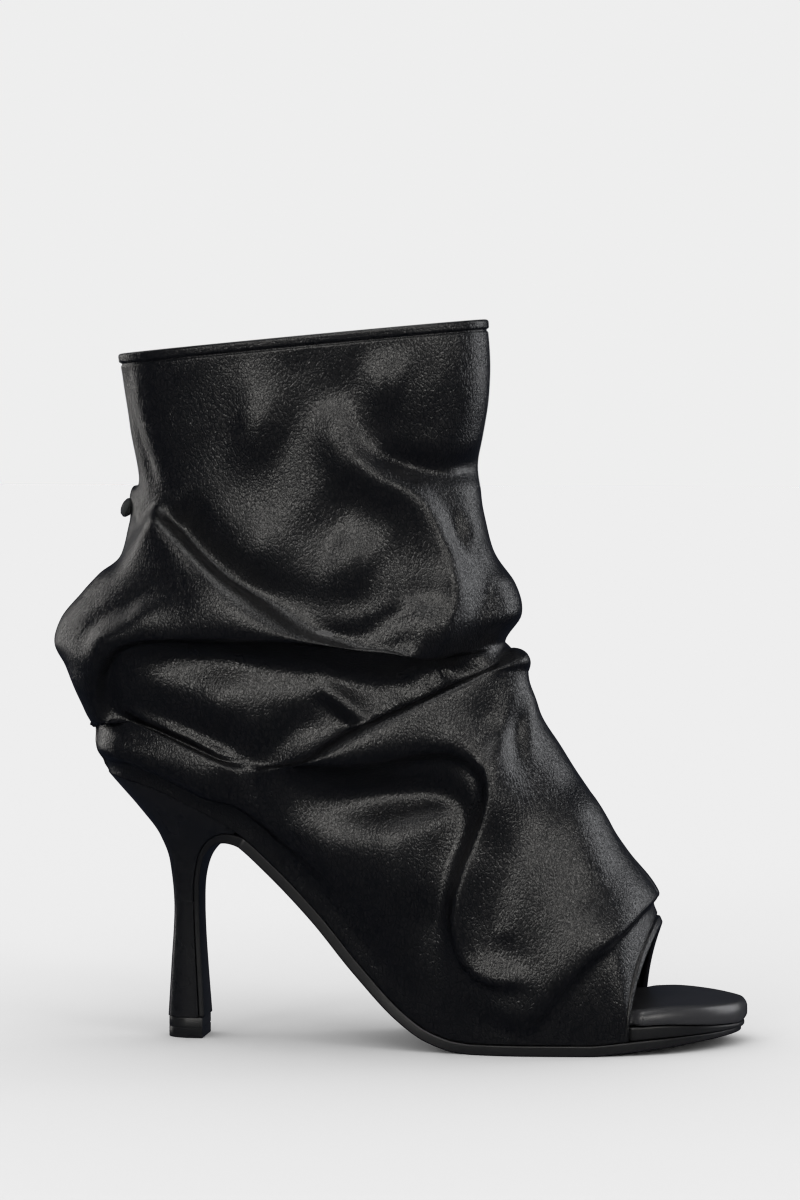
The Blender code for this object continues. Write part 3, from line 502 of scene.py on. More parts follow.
def bottom_loop():
    """The lower edge: the outer feather line, an arch of powers of sine and cosine, the inner line."""
    turns = feather_turns()
    outer = outline_side(turns, "outer")
    inner = outline_side(turns, "inner")[::-1]
    outer = on_last(outer[:, 0], outer[:, 1], GAP)
    inner = on_last(inner[:, 0], inner[:, 1], GAP)
    swing = np.linspace(0, math.pi, RIM_STEPS + 1)[1:-1]
    power = 2 / RIM_FULLNESS
    half = (inner[0] - outer[-1]) / 2
    middle = (inner[0] + outer[-1]) / 2
    sideways = -np.sign(np.cos(swing)) * np.abs(np.cos(swing)) ** power
    upward = np.sin(swing) ** power
    arch = middle + half * sideways[:, None]
    arch = arch + np.stack((RIM_LEAN * upward ** RIM_CURL, 0 * upward, RIM_HEIGHT * upward), axis=1)
    return np.concatenate((outer, arch, inner[:-1]))


def section_loop(section, outer_shares, inner_shares):
    """A closed oval section, its two halves stepped in the same shares as the lower edge's halves."""
    back, front = along(section.back), along(section.front)
    middle, half = (back + front) / 2, (front - back) / 2
    power = 2 / SECTION_FULLNESS
    swing = np.linspace(0, math.pi, LINE_SAMPLES)
    x = middle - half * np.sign(np.cos(swing)) * np.abs(np.cos(swing)) ** power
    level = rise(section.rise) + SHAFT_HEIGHT * section.lean * (x - middle) / (2 * half)
    sides = []
    for width, shares in ((-section.outer, outer_shares), (section.inner, inner_shares)):
        y = BALL_WIDTH * width * np.sin(swing) ** power
        line = np.stack((x, y, level), axis=1)
        reach = arc_shares(line)
        sides.append(np.stack([np.interp(shares, reach, line[:, k]) for k in range(3)], axis=1))
    return np.concatenate((sides[0], sides[1][-2:0:-1]))


def evened(loop, passes):
    """A loop blurred round the shoe near the toe opening's corners, so that no crease runs up from them."""
    blurred = loop
    for _ in range(passes):
        blurred = (np.roll(blurred, 1, axis=0) + 2 * blurred + np.roll(blurred, -1, axis=0)) / 4
    j = np.arange(len(loop))
    corners = (FEATHER_STEPS, FEATHER_STEPS + RIM_STEPS)
    near = sum(np.exp(-((j - corner) / CORNER_REACH) ** 4) for corner in corners)
    return loop + (blurred - loop) * near[:, None]


def upper_loops():
    """The loops that the upper passes through, from its lower edge to the collar."""
    low = bottom_loop()
    top = len(low) // 2
    outer_shares = arc_shares(low[:top + 1])
    inner_shares = arc_shares(np.concatenate((low[top:], low[:1])))
    shaft = [section_loop(s, outer_shares, 1 - inner_shares[::-1]) for s in SECTIONS]
    chord = shaft[0] - low
    round_the_edge = np.roll(low, -1, axis=0) - np.roll(low, 1, axis=0)
    outward = unit(np.cross(round_the_edge, chord))
    sideways = np.abs(outward[:, 1:2])
    bulge = outward * SIDE_BULGE
    middle = (low + shaft[0]) / 2 + bulge * (END_BULGE_SHARE + (1 - END_BULGE_SHARE) * sideways)
    middle = evened(middle, MIDDLE_PASSES)
    length = np.linalg.norm(chord, axis=1, keepdims=True)
    lean = UPRIGHTNESS * sideways
    upright = chord / length * (1 - lean) + lean * np.array((0.0, 0.0, 1.0))
    reach = np.minimum(WALL_UPRIGHT, length * WALL_UPRIGHT_SHARE)
    wall = evened(low + upright * reach + bulge * WALL_BULGE_SHARE, WALL_PASSES)
    return np.stack([low, wall, middle] + shaft)


LOOPS = upper_loops()
COLUMNS = LOOPS.shape[1]
print("loops and columns:", LOOPS.shape[:2])

# %% [markdown]
# The rows crowd together near the two cut edges, because the bead and the groove there are only
# a millimetre wide. The first rows start a little above the toe rim, which leaves room for the
# edge to roll over.

# %% Rows up the skin
EDGE_ROWS_MM = (
    0.0, 0.3, 0.6, 0.9, 1.2, 1.6, 2.0, 2.35, 2.7, 3.05, 3.4, 3.8, 4.4, 5.2, 6.2, 7.4, 8.6, 9.8, 11.0)
COLLAR_ROWS_MM = (
    11.0, 9.6, 8.2, 7.0, 6.0, 5.2, 4.6, 4.1, 3.7, 3.35, 3.0, 2.65, 2.3, 1.95, 1.6, 1.2, 0.8, 0.4, 0.0)
ROWS_PER_SPAN = (0, 36, 42, 9, 12, 8, 10, 11, 12, 12, 13, 18)
ROWS_UNDER_COLLAR = 14
CORNER_COLUMNS = 5.0


def row_places():
    """Span and share of every row, and how much of the rim's roll each row makes room for."""
    spans = [0] * len(EDGE_ROWS_MM)
    shares = [mm / 1000 / WALL_UPRIGHT for mm in EDGE_ROWS_MM]
    for span, count in enumerate(ROWS_PER_SPAN):
        spans += [span] * count
        shares += list(np.arange(count) / max(count, 1))
    last = len(LOOPS) - 2
    tall = np.linalg.norm(LOOPS[-1] - LOOPS[-2], axis=1).mean()
    collar = [1 - (mm / 1000 + LEATHER / 2) / tall for mm in COLLAR_ROWS_MM]
    lower = list(np.linspace(0, collar[0], ROWS_UNDER_COLLAR, endpoint=False))
    spans += [last] * (len(lower) + len(collar))
    return np.array(spans), np.array(shares + lower + collar)


def rim_share():
    """1 over the toe arch and 0 along the feather lines, with a short soft change at the corners."""
    j = np.arange(COLUMNS)
    from_corner = np.minimum(j - FEATHER_STEPS, FEATHER_STEPS + RIM_STEPS - j)
    return soft_step(from_corner / CORNER_COLUMNS)


def loft(loops, spans, shares):
    """Cubic lines across the loops, with slopes per metre taken from the chords on both sides."""
    steps = np.linalg.norm(np.diff(loops, axis=0), axis=2)[..., None]
    return blend(loops, mean_slopes(steps, loops), spans, steps[spans], shares[..., None])


def smooth_upper():
    """The skin's grid before its folds, with its normals, upward tangents and length from the lower edge."""
    spans, shares = row_places()
    shares = np.repeat(shares[:, None], COLUMNS, axis=1)
    room = LEATHER / 2 / WALL_UPRIGHT * rim_share()[None]
    shares = np.where(spans[:, None] == 0, shares + room * (1 - shares), shares)
    base = loft(LOOPS, spans, shares)
    up = unit(np.gradient(base, axis=0))
    around = np.roll(base, -1, axis=1) - np.roll(base, 1, axis=1)
    normal = unit(np.cross(around, up))
    climbed = np.linalg.norm(np.diff(base, axis=0), axis=2)
    length = np.concatenate((np.zeros((1, base.shape[1])), np.cumsum(climbed, axis=0)))
    return base, normal, up, length


BASE, NORMAL, UP, LENGTH = smooth_upper()
print("skin grid:", BASE.shape[:2])

# %% [markdown]
# ## Folds
# Real slouch folds hang over: the leather climbs to a crest and then turns back under itself. So a
# fold here moves the skin in two ways. It lifts it along its normal, and it slides it sideways
# toward the steep side. Where the slide is larger than the steep side is wide, the crest hangs over
# the trough and throws a true shadow. Each fold's path is drawn in the side view, in thousandths of
# the shares along the foot and up the boot.

# %% The folds' table
Fold = namedtuple("Fold", "height left right lap ends path")
OUTER_FOLDS = {
    "pleat edge": Fold(0.0072, 0.0021, 0.012, 0.0034, (0.1, 0.16), (
        (83, 1622), (129, 1559), (178, 1491), (226, 1437), (272, 1397), (336, 1356), (383, 1336),
        (435, 1319), (481, 1317), (524, 1340))),
    "pleat shadow": Fold(-0.0052, 0.011, 0.004, 0.0, (0.12, 0.3), (
        (102, 1615), (142, 1545), (189, 1479), (235, 1427), (286, 1384), (341, 1351), (395, 1333),
        (457, 1332))),
    "mouth rim": Fold(0.0056, 0.003, 0.009, 0.0042, (0.12, 0.06), (
        (640, 1301), (597, 1294), (551, 1284), (469, 1279), (400, 1292), (306, 1309), (221, 1317),
        (160, 1319), (113, 1316), (73, 1307), (42, 1286), (23, 1247), (17, 1201), (25, 1154), (46, 1122),
        (82, 1100), (116, 1080), (164, 1051), (212, 1024), (264, 1009))),
    "lip line": Fold(0.002, 0.0018, 0.0022, 0.0, (0.2, 0.2), (
        (47, 1163), (73, 1138), (115, 1113), (163, 1082), (211, 1046), (242, 1024))),
    "mouth": Fold(-0.006, 0.0065, 0.0075, 0.0, (0.15, 0.15), (
        (61, 1230), (95, 1260), (173, 1268), (266, 1260), (373, 1241), (467, 1226), (550, 1243),
        (621, 1282))),
    "vamp edge": Fold(0.0062, 0.0026, 0.012, 0.0046, (0.1, 0.08), (
        (246, 1005), (271, 1014), (322, 1042), (370, 1077), (406, 1104), (443, 1130), (497, 1164),
        (552, 1201), (593, 1229), (622, 1258), (645, 1299))),
    "drop fold": Fold(0.0054, 0.0085, 0.003, -0.0036, (0.1, 0.12), (
        (272, 1006), (330, 1009), (398, 1016), (468, 1038), (520, 1054), (557, 1053), (584, 1035),
        (604, 1001), (612, 929), (609, 849), (598, 765), (584, 673), (574, 581), (569, 507), (572, 423),
        (581, 358), (600, 300), (629, 268), (667, 280), (697, 318))),
    "band trough": Fold(-0.0058, 0.0042, 0.01, 0.0, (0.15, 0.32), (
        (252, 970), (329, 950), (406, 952), (482, 965), (534, 966), (565, 937), (577, 872), (571, 787),
        (556, 699), (545, 596), (539, 467), (542, 357), (559, 259), (587, 175))),
    "pocket": Fold(-0.004, 0.0075, 0.0075, 0.0, (0.3, 0.3), (
        (647, 928), (638, 818), (627, 700), (615, 579), (606, 468), (610, 395), (643, 360), (688, 424))),
    "crest": Fold(0.0026, 0.006, 0.0045, 0.0, (0.1, 0.4), (
        (642, 1287), (649, 1244), (644, 1176), (635, 1121), (627, 1062), (621, 989), (617, 875),
        (612, 760))),
    "second crest": Fold(0.0016, 0.004, 0.0034, 0.0, (0.3, 0.45), (
        (652, 1230), (658, 1173), (666, 1116), (673, 1047), (678, 966))),
    "crest valley": Fold(-0.0016, 0.0032, 0.0032, 0.0, (0.25, 0.45), (
        (648, 1242), (653, 1185), (650, 1117), (645, 1048), (639, 967))),
    "toe lap": Fold(0.0034, 0.0018, 0.011, 0.0026, (0.03, 0.08), (
        (872, 565), (857, 535), (842, 503), (822, 449), (802, 402), (775, 351), (752, 292), (728, 233),
        (709, 174), (692, 121), (672, 45))),
    "shaft hook": Fold(0.0044, 0.0055, 0.008, 0.0, (0.16, 0.1), (
        (406, 1875), (391, 1834), (386, 1784), (397, 1735), (424, 1697), (461, 1667), (490, 1638),
        (513, 1591), (534, 1530), (551, 1469), (557, 1415), (545, 1370), (513, 1336), (475, 1318))),
    "pinch": Fold(-0.0042, 0.0042, 0.0048, 0.0, (0.05, 0.35), (
        (614, 1708), (580, 1699), (540, 1694), (502, 1703), (467, 1719), (430, 1739))),
    "small fold": Fold(-0.002, 0.0026, 0.0026, 0.0, (0.3, 0.3), (
        (343, 1354), (389, 1339), (432, 1346), (474, 1371), (500, 1396))),
    "second ridge": Fold(0.0024, 0.0055, 0.0055, 0.0, (0.3, 0.3), (
        (584, 1630), (575, 1562), (570, 1494), (578, 1426), (593, 1369))),
    "front dent": Fold(-0.0024, 0.0065, 0.0065, 0.0, (0.5, 0.3), (
        (601, 1549), (598, 1503), (599, 1446), (610, 1389), (621, 1355))),
    "ridge valley": Fold(-0.0022, 0.004, 0.004, 0.0, (0.3, 0.3), (
        (542, 1619), (556, 1563), (565, 1495), (570, 1427), (565, 1371))),
    "back crease": Fold(-0.0014, 0.0022, 0.0026, 0.0, (0.15, 0.3), (
        (36, 1970), (46, 1867), (64, 1763), (83, 1695), (100, 1630))),
    "mouth ridge": Fold(0.0025, 0.0038, 0.0034, 0.0, (0.4, 0.15), (
        (335, 1249), (370, 1204), (404, 1162), (441, 1114))),
    "mouth crease": Fold(-0.0013, 0.0026, 0.0026, 0.0, (0.35, 0.15), (
        (346, 1190), (373, 1152), (407, 1103))),
    "mouth swell": Fold(0.0026, 0.008, 0.008, 0.0, (0.35, 0.35), (
        (149, 1163), (211, 1148), (268, 1112), (312, 1067))),
    "right mouth swell": Fold(0.0026, 0.0075, 0.007, 0.0, (0.35, 0.35), (
        (481, 1201), (519, 1220), (565, 1243))),
    "left hollow": Fold(-0.0016, 0.004, 0.004, 0.0, (0.3, 0.3), (
        (-14, 1272), (8, 1334), (50, 1371), (97, 1399))),
    "left ridge": Fold(0.0022, 0.0032, 0.0034, 0.0, (0.25, 0.35), (
        (-7, 1243), (4, 1288), (18, 1316), (46, 1339), (86, 1365), (121, 1386), (159, 1404))),
    "quarter swell": Fold(0.0024, 0.011, 0.011, 0.0, (0.35, 0.35), (
        (439, 923), (475, 777), (505, 613), (521, 449))),
    "left shaft swell": Fold(0.0024, 0.015, 0.014, 0.0, (0.45, 0.45), (
        (212, 1811), (260, 1802), (312, 1788))),
    "right shaft swell": Fold(0.0024, 0.011, 0.011, 0.0, (0.45, 0.45), (
        (412, 1884), (450, 1890), (496, 1879))),
    "low shaft swell": Fold(0.0026, 0.011, 0.011, 0.0, (0.4, 0.4), (
        (366, 1528), (412, 1499), (458, 1468))),
    "vamp swell": Fold(0.0026, 0.011, 0.009, 0.0, (0.35, 0.35), (
        (720, 990), (748, 843), (766, 696), (769, 549))),
    "back hollow": Fold(-0.003, 0.006, 0.006, 0.0, (0.25, 0.35), (
        (46, 1612), (32, 1566), (15, 1512), (-9, 1457))),
}
INNER_FOLDS = {
    "pleat edge": Fold(0.0058, 0.0034, 0.014, 0.0036, (0.04, 0.3), (
        (50, 1660), (100, 1600), (200, 1510), (350, 1440), (520, 1410))),
    "lip over the mouth": Fold(0.004, 0.01, 0.0034, -0.003, (0.1, 0.15), (
        (20, 1250), (70, 1310), (200, 1325), (380, 1320), (520, 1310), (645, 1304))),
    "mouth": Fold(-0.0065, 0.009, 0.009, 0.0, (0.2, 0.2), (
        (60, 1250), (220, 1210), (380, 1225), (570, 1285))),
    "lower roll": Fold(0.0056, 0.0034, 0.01, 0.0028, (0.1, 0.12), (
        (15, 1210), (50, 1150), (150, 1090), (280, 1050), (420, 1130), (550, 1210), (650, 1303))),
    "drop trough": Fold(-0.004, 0.006, 0.006, 0.0, (0.25, 0.2), (
        (300, 980), (450, 930), (500, 750), (520, 500), (580, 200))),
    "vamp ridge": Fold(0.0034, 0.0055, 0.006, 0.0, (0.25, 0.25), (
        (560, 1100), (600, 900), (600, 650), (630, 350))),
    "toe lap": Fold(0.0034, 0.0018, 0.011, 0.0026, (0.03, 0.08), (
        (872, 565), (857, 535), (842, 495), (812, 402), (785, 351), (762, 292), (719, 174), (680, 45))),
    "shaft ridge": Fold(0.0032, 0.0065, 0.0065, 0.0, (0.3, 0.25), (
        (280, 1880), (330, 1720), (440, 1620), (540, 1450))),
    "shaft hollow": Fold(-0.003, 0.007, 0.007, 0.0, (0.3, 0.3), (
        (400, 1880), (430, 1750), (520, 1640), (600, 1500))),
    "left ridge": Fold(0.0024, 0.004, 0.004, 0.0, (0.3, 0.35), (
        (30, 1380), (100, 1420), (200, 1400), (300, 1360))),
    "back hollow": Fold(-0.003, 0.006, 0.006, 0.0, (0.25, 0.35), (
        (46, 1612), (32, 1566), (15, 1512), (-9, 1457))),
}
print("folds:", len(OUTER_FOLDS), "outside and", len(INNER_FOLDS), "inside")

# %% Fold shapes
FOLD_SAMPLES = 64
FOLD_MARGIN = 3.0
FOLD_PASSES = 2
LAP_REACH = 1.3
GENTLE_LAP_REACH = 0.6
SIDE_BLEND = 0.010
EDGE_FADE = 0.012


def fold_field(fold, x, z):
    """Lift and slide of one fold at side view places.

    Both are a bell curve of the signed distance to the crest, with a width of its own on each side.
    The crest starts a lap behind the path, and the slide carries it onto the path. The slide's bell is
    wider on the steep side, and both fade out at the path's ends."""
    path = np.array(fold.path) / 1000
    points = np.stack((along(path[:, 0]), rise(path[:, 1])), axis=1)
    line = flowing(arc_shares(points), points, np.linspace(0, 1, FOLD_SAMPLES))
    start, run = line[:-1], np.diff(line, axis=0)
    margin = FOLD_MARGIN * max(fold.left, fold.right)
    near = ((x > line[:, 0].min() - margin) & (x < line[:, 0].max() + margin)
            & (z > line[:, 1].min() - margin) & (z < line[:, 1].max() + margin))
    spot = np.stack((x[near], z[near]), axis=-1)[:, None, :] - start
    share = np.clip((spot * run).sum(-1) / (run ** 2).sum(-1), 0, 1)
    away = spot - share[..., None] * run
    distance = np.linalg.norm(away, axis=-1)
    pick = distance.argmin(axis=-1)
    rows = np.arange(len(pick))
    turn = (run[:, 0] * spot[..., 1] - run[:, 1] * spot[..., 0])[rows, pick]
    distance, share = distance[rows, pick], share[rows, pick]
    reach = (pick + share) / len(run)
    fade = soft_step(reach / fold.ends[0]) * soft_step((1 - reach) / fold.ends[1])
    from_crest = np.sign(turn) * distance + fold.lap * fade
    left = from_crest > 0
    distance = np.abs(from_crest)
    width = np.where(left, fold.left, fold.right)
    lift, slide = np.zeros(x.shape), np.zeros(x.shape + (2,))
    lift[near] = fold.height * fade * np.exp(-(distance / width) ** 2)
    if fold.lap:
        steep = left if fold.lap > 0 else ~left
        reach = width * np.where(steep, LAP_REACH, GENTLE_LAP_REACH)
        bell = np.exp(-(distance / reach) ** 2)
        heading = unit(run[pick])
        sideways = np.stack((-heading[:, 1], heading[:, 0]), axis=1)
        slide[near] = sideways * (fold.lap * fade * bell)[:, None]
    return lift, slide


def fold_sum(folds, x, z):
    """All folds of one side added up."""
    lift, slide = np.zeros(x.shape), np.zeros(x.shape + (2,))
    for fold in folds.values():
        more, push = fold_field(fold, x, z)
        lift += more
        slide += push
    return lift, slide


def soften(field, passes):
    """A field blurred over its neighbours by weights 1, 2, 1, round the shoe and up it."""
    for _ in range(passes):
        field = (np.roll(field, 1, axis=1) + 2 * field + np.roll(field, -1, axis=1)) / 4
        padded = np.concatenate((field[:1], field, field[-1:]))
        field = (padded[:-2] + 2 * field + padded[2:]) / 4
    return field


x, y, z = BASE[..., 0], BASE[..., 1], BASE[..., 2]
outer_lift, outer_slide = fold_sum(OUTER_FOLDS, x, z)
inner_lift, inner_slide = fold_sum(INNER_FOLDS, x, z)
side = soft_step(0.5 + y / (2 * SIDE_BLEND))
fade = soft_step(LENGTH / EDGE_FADE) * soft_step((LENGTH[-1] - LENGTH) / EDGE_FADE)
lift = (outer_lift * (1 - side) + inner_lift * side) * fade
slide = (outer_slide * (1 - side[..., None]) + inner_slide * side[..., None]) * fade[..., None]
print("deepest and highest fold, mm:", round(lift.min() * 1000, 1), round(lift.max() * 1000, 1))

# %% [markdown]
# Between the main folds soft leather is never quite even. Slow waves, a sum of sines with set
# directions, give it the small swells that break up the lamps' reflections. The finest wrinkles
# are left to the grain in the finish.


# %% Slow swells, the back strip and the cut edges
WAVES = rows_of("direction phase size", (
    ((38, 12, 61), 0.7, 0.00032), ((-71, 33, 52), 2.1, 0.00026), ((95, -41, 140), 4.4, 0.00016),
    ((-150, 87, 118), 1.3, 0.00012), ((212, 60, -190), 5.2, 0.00007),
    ((-260, -120, 300), 3.6, 0.00005),
))
WAVE_BEND = (47.0, 31.0, -58.0)
BACK_STRIP_WIDTH = 0.015
BACK_STRIP_STEP = 0.0008
BACK_STRIP_RAMP = 0.0008
BACK_STRIP_FADE = 0.003
STRIP_GROOVE = 0.0004
STRIP_GROOVE_AT = 0.0006
STRIP_GROOVE_WIDTH = 0.0005
BEAD = 0.0004
BEAD_WIDTH = 0.0024
BEAD_RAMP = 0.0006
GROOVE = 0.0006
GROOVE_WIDTH = 0.00045
GROOVE_BEHIND = 0.0003


def swells(points):
    """Slow unevenness: sines along set directions, each smaller as its waves get shorter."""
    total = np.zeros(points.shape[:2])
    bend = np.sin(points @ np.array(WAVE_BEND))
    for wave in WAVES:
        total += wave.size * np.sin(points @ np.array(wave.direction, dtype=float) + wave.phase + bend)
    return total


def edge_bead(distance):
    """A raised band along a cut edge and a narrow groove behind it, by distance from the edge."""
    band = BEAD * soft_step((BEAD_WIDTH - distance) / BEAD_RAMP)
    return band - GROOVE * np.exp(-((distance - BEAD_WIDTH - GROOVE_BEHIND) / GROOVE_WIDTH) ** 2)


RIM = rim_share()[None]
at_the_back = (x < 0) * (z < rise(SECTIONS[0].rise))
past_strip = np.abs(y) - BACK_STRIP_WIDTH / 2
strip = soft_step(-past_strip / BACK_STRIP_RAMP) * at_the_back
strip_groove = np.exp(-((past_strip - STRIP_GROOVE_AT) / STRIP_GROOVE_WIDTH) ** 2) * at_the_back
lift = soften(lift, FOLD_PASSES) + swells(BASE) * fade
lift += BACK_STRIP_STEP * strip * soft_step(LENGTH / BACK_STRIP_FADE) - STRIP_GROOVE * strip_groove
lift += edge_bead(LENGTH) * RIM + edge_bead(LENGTH[-1] - LENGTH)
slide = soften(slide, FOLD_PASSES)
shift = np.stack((slide[..., 0], np.zeros(slide.shape[:2]), slide[..., 1]), axis=-1)
shift -= NORMAL * (shift * NORMAL).sum(-1, keepdims=True)
OUTSIDE = BASE + NORMAL * lift[..., None] + shift
print("skin lies", round(np.abs(OUTSIDE - BASE).max() * 1000, 1), "mm from the smooth form at most")

# %% [markdown]
# The leather is 2 mm thick, and its edges are turned in. So the same grid rolls over the collar
# and under the toe rim in half a circle, and goes on down the inside as a facing. A looser lining
# covers the rest of the inside.

# %% The skin and its lining
FACING_MM = (2.0, 4.0, 7.0, 11.0, 16.0)
ROLL_STEPS = 7
LINING_PASSES = 12
LINING_DEPTH = 1.6
LINING_ROW_STEP = 4
LINING_COLUMN_STEP = 2
angles = np.linspace(0, math.pi, ROLL_STEPS + 2)[1:]


def rolled(edge, normal, outward_along, room):
    """Rows that roll over an edge: half a circle as thick as the leather, then straight down inside."""
    half = LEATHER / 2
    rows = [edge + normal * half * (math.cos(a) - 1) + outward_along * half * math.sin(a) * room
            for a in angles]
    rows += [rows[-1] - outward_along * mm / 1000 for mm in FACING_MM]
    return rows


room_below = rim_share()[:, None]
below = rolled(OUTSIDE[0], NORMAL[0], -UP[0], room_below)[::-1]
above = rolled(OUTSIDE[-1], NORMAL[-1], UP[-1], 1.0)
skin_rows = np.concatenate((np.stack(below), OUTSIDE, np.stack(above)))
rows, columns = skin_rows.shape[:2]
skin = piece_from("boot_leather", skin_rows.reshape(-1, 3), grid_quads(rows, columns, True), leather_look)
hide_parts("upper")

depth = np.minimum(soften(lift, LINING_PASSES), lift) - LEATHER * LINING_DEPTH
inside = (BASE + NORMAL * depth[..., None])[::LINING_ROW_STEP, ::LINING_COLUMN_STEP]
lining_quads = grid_quads(*inside.shape[:2], True)[:, ::-1]
lining = piece_from("boot_lining", inside.reshape(-1, 3), lining_quads, sock_look)
print("skin quads:", len(skin.data.polygons), "lining quads:", len(lining.data.polygons))

# %% [markdown]
# ## The sole
# Three layers close the shoe underneath: a thin outsole, a wrapped board and a padded sock that
# shows at the toe. All three follow the last's edge. Each is a slab: a row of cross sections from
# heel to toe, with rounded corners whose centres lie a radius inside the slab's sides.

# %% Sizes of the sole and the heel
SOLE_LEDGE = 0.0012
BREAST_FLAP = 0.0018
BOARD_THICKNESS = 0.005
BOARD_EDGE = 0.001
SOCK_THICKNESS = 0.0068
SOCK_CLEARANCE = 0.0014
SOCK_WIDENS_AHEAD = 0.003
TIP_HEIGHT = 0.007
TIP_DEPTH = 0.0134
TIP_WIDTH = 0.019
TIP_INSET = 0.0003
BREAST_ALONG = 0.221
SEAT_LEAVES_ALONG = 0.236
FLAP_LEAD = 0.03
FLAP_THINS_BY = 0.35
HEEL_SQUARENESS = 0.8
FIRST_TURN = 0.004
LAST_TURN = 0.998
THINNEST = 0.0001
WIDENS_OVER = 0.0015
BOARD_CORNERS = (0.0004, 0.0007)
BOARD_NOSE = 0.0012
SOCK_CORNERS = (0.0014, 0.0040)
SOCK_CROWN = 0.0006
SOCK_NOSE = 0.0030
SOLE_CORNERS = (0.0005, 0.0004)
LAYERS = rows_of("along outsole board sock ledge", (
    (0.0, 1.0, 0.5, 0.37, 0.0), (0.35, 1.0, 0.5, 0.37, 0.0), (0.5, 1.0, 0.5, 0.45, 0.6),
    (0.66, 1.0, 0.6, 0.55, 1.0), (0.8, 1.0, 0.95, 0.7, 0.8), (0.88, 0.9, 0.85, 0.85, 0.2),
    (0.94, 0.65, 0.55, 0.95, -0.9), (1.0, 0.42, 0.25, 1.0, -1.8),
))
FLAP = rows_of("depth rise width flare", (
    (1.17, 0.778, 0.95, 0.78), (0.75, 0.75, 0.92, 0.48), (0.44, 0.695, 0.86, 0.2),
    (0.29, 0.622, 0.79, 0.06), (0.24, 0.48, 0.74, 0.0), (0.255, 0.404, 0.75, 0.0),
    (0.31, 0.255, 0.83, 0.0), (0.39, 0.09, 0.96, 0.0),
))
HEEL = rows_of("step back rise flare", (
    (0.0, -0.51, 0.0, 0.0), (0.22, -0.43, 0.21, 0.0), (0.42, -0.35, 0.44, 0.0),
    (0.6, -0.36, 0.63, 0.06), (0.74, -0.4, 0.74, 0.19), (0.87, -0.45, 0.865, 0.53),
    (1.0, -0.5, 1.0, 1.0),
))

# %% A slab with rounded corners
CORNER_STEPS = 6
TOP_STEPS = 24
SOLE_STATIONS = 260
CORNER_ROOM = 2.02


def closed_piece(name, points, quads, material, extra=()):
    """A closed body, its faces turned round if the signed volume, a sum of triple products, is negative."""
    corners = np.asarray(points, dtype=float)[quads]
    around = corners - corners.mean(axis=(0, 1))
    volume = np.einsum("ij,ij->i", around[:, 0], np.cross(around[:, 1], around[:, 2])).sum()
    volume += np.einsum("ij,ij->i", around[:, 0], np.cross(around[:, 2], around[:, 3])).sum()
    if volume < 0:
        quads = quads[:, ::-1]
        extra = [face[::-1] for face in extra]
    return piece_from(name, points, quads, material, extra)


def slab_sections(width, thick, low_corner, top_corner):
    """Across and up distances of a rounded section: each corner is a quarter circle about its own centre."""
    half = width / CORNER_ROOM
    low = np.minimum.reduce((np.full_like(width, low_corner), half, thick / CORNER_ROOM))[:, None]
    top = np.minimum.reduce((np.full_like(width, top_corner), half, thick - low[:, 0]))[:, None]
    wide, high = width[:, None], thick[:, None]
    quarter = np.linspace(0, math.pi / 2, CORNER_STEPS + 1)[None]
    flat = np.linspace(0, 1, TOP_STEPS + 1)[None, 1:-1]
    across = np.concatenate((
        low - low * np.cos(quarter), wide - low + low * np.sin(quarter),
        wide - top + top * np.cos(quarter), (wide - top) + (2 * top - wide) * flat,
        top - top * np.sin(quarter)), axis=1)
    up = np.concatenate((
        low - low * np.sin(quarter), low - low * np.cos(quarter),
        high - top + top * np.sin(quarter), high + 0 * flat * wide,
        high - top + top * np.cos(quarter)), axis=1)
    return across, up


def slab(name, outer, inner, upward, thick, low_corner, top_corner, crown, material):
    """A slab from rows of outer and inner points at its underside.

    Its sections lie across each row, between the two points, and up from it."""
    width = np.linalg.norm(inner - outer, axis=1)
    across, up = slab_sections(width, thick, low_corner, top_corner)
    share = across / width[:, None]
    up = up + crown * 4 * share * (1 - share) * (up / thick[:, None]) ** 2
    points = outer[:, None] + (inner - outer)[:, None] * share[..., None] + upward[:, None] * up[..., None]
    rows, columns = share.shape
    ends = [points[0].mean(axis=0), points[-1].mean(axis=0)]
    first, last = rows * columns, rows * columns + 1
    fans = [(first, (j + 1) % columns, j) for j in range(columns)]
    fans += [(last, last - 1 - columns + j, last - 1 - columns + (j + 1) % columns) for j in range(columns)]
    points = np.concatenate((points.reshape(-1, 3), ends))
    return closed_piece(name, points, grid_quads(rows, columns, True), material, fans)


def edge_lines(turns, name, moved_out):
    """One side of the outline, each point moved out along the outline's normal by its own distance."""
    line = outline_side(turns, name)
    tangent = unit(np.gradient(line, axis=0))
    outward = np.stack((tangent[:, 1], -tangent[:, 0]), axis=1) * (1 if name == "outer" else -1)
    return line + outward * np.reshape(moved_out, (-1, 1))


def layer_on_last(name, outset, base, thick, corners, crown, nose, material):
    """A layer on the last: outset, base height and thickness are functions of the distance along the foot."""
    turns = np.linspace(FIRST_TURN, LAST_TURN, SOLE_STATIONS)
    x = outline_side(turns, "outer")[:, 0]
    outer, inner = edge_lines(turns, "outer", outset(x)), edge_lines(turns, "inner", outset(x))
    from_toe = np.clip(outer[-1, 0] + THINNEST - outer[:, 0], 0, None)
    radius = np.minimum(nose, thick(x) / 2)
    inside = np.clip(radius - from_toe, 0, radius)
    shrink = radius - np.sqrt(radius ** 2 - inside ** 2)
    low = on_last(outer[:, 0], outer[:, 1], base(x) + shrink)
    far = on_last(inner[:, 0], inner[:, 1], base(x) + shrink)
    upward = on_last(x, 0 * x, 1.0) - on_last(x, 0 * x, 0.0)
    height = np.maximum(thick(x) - 2 * shrink, THINNEST)
    return slab(name, low, far, upward, height, *corners, crown, material)


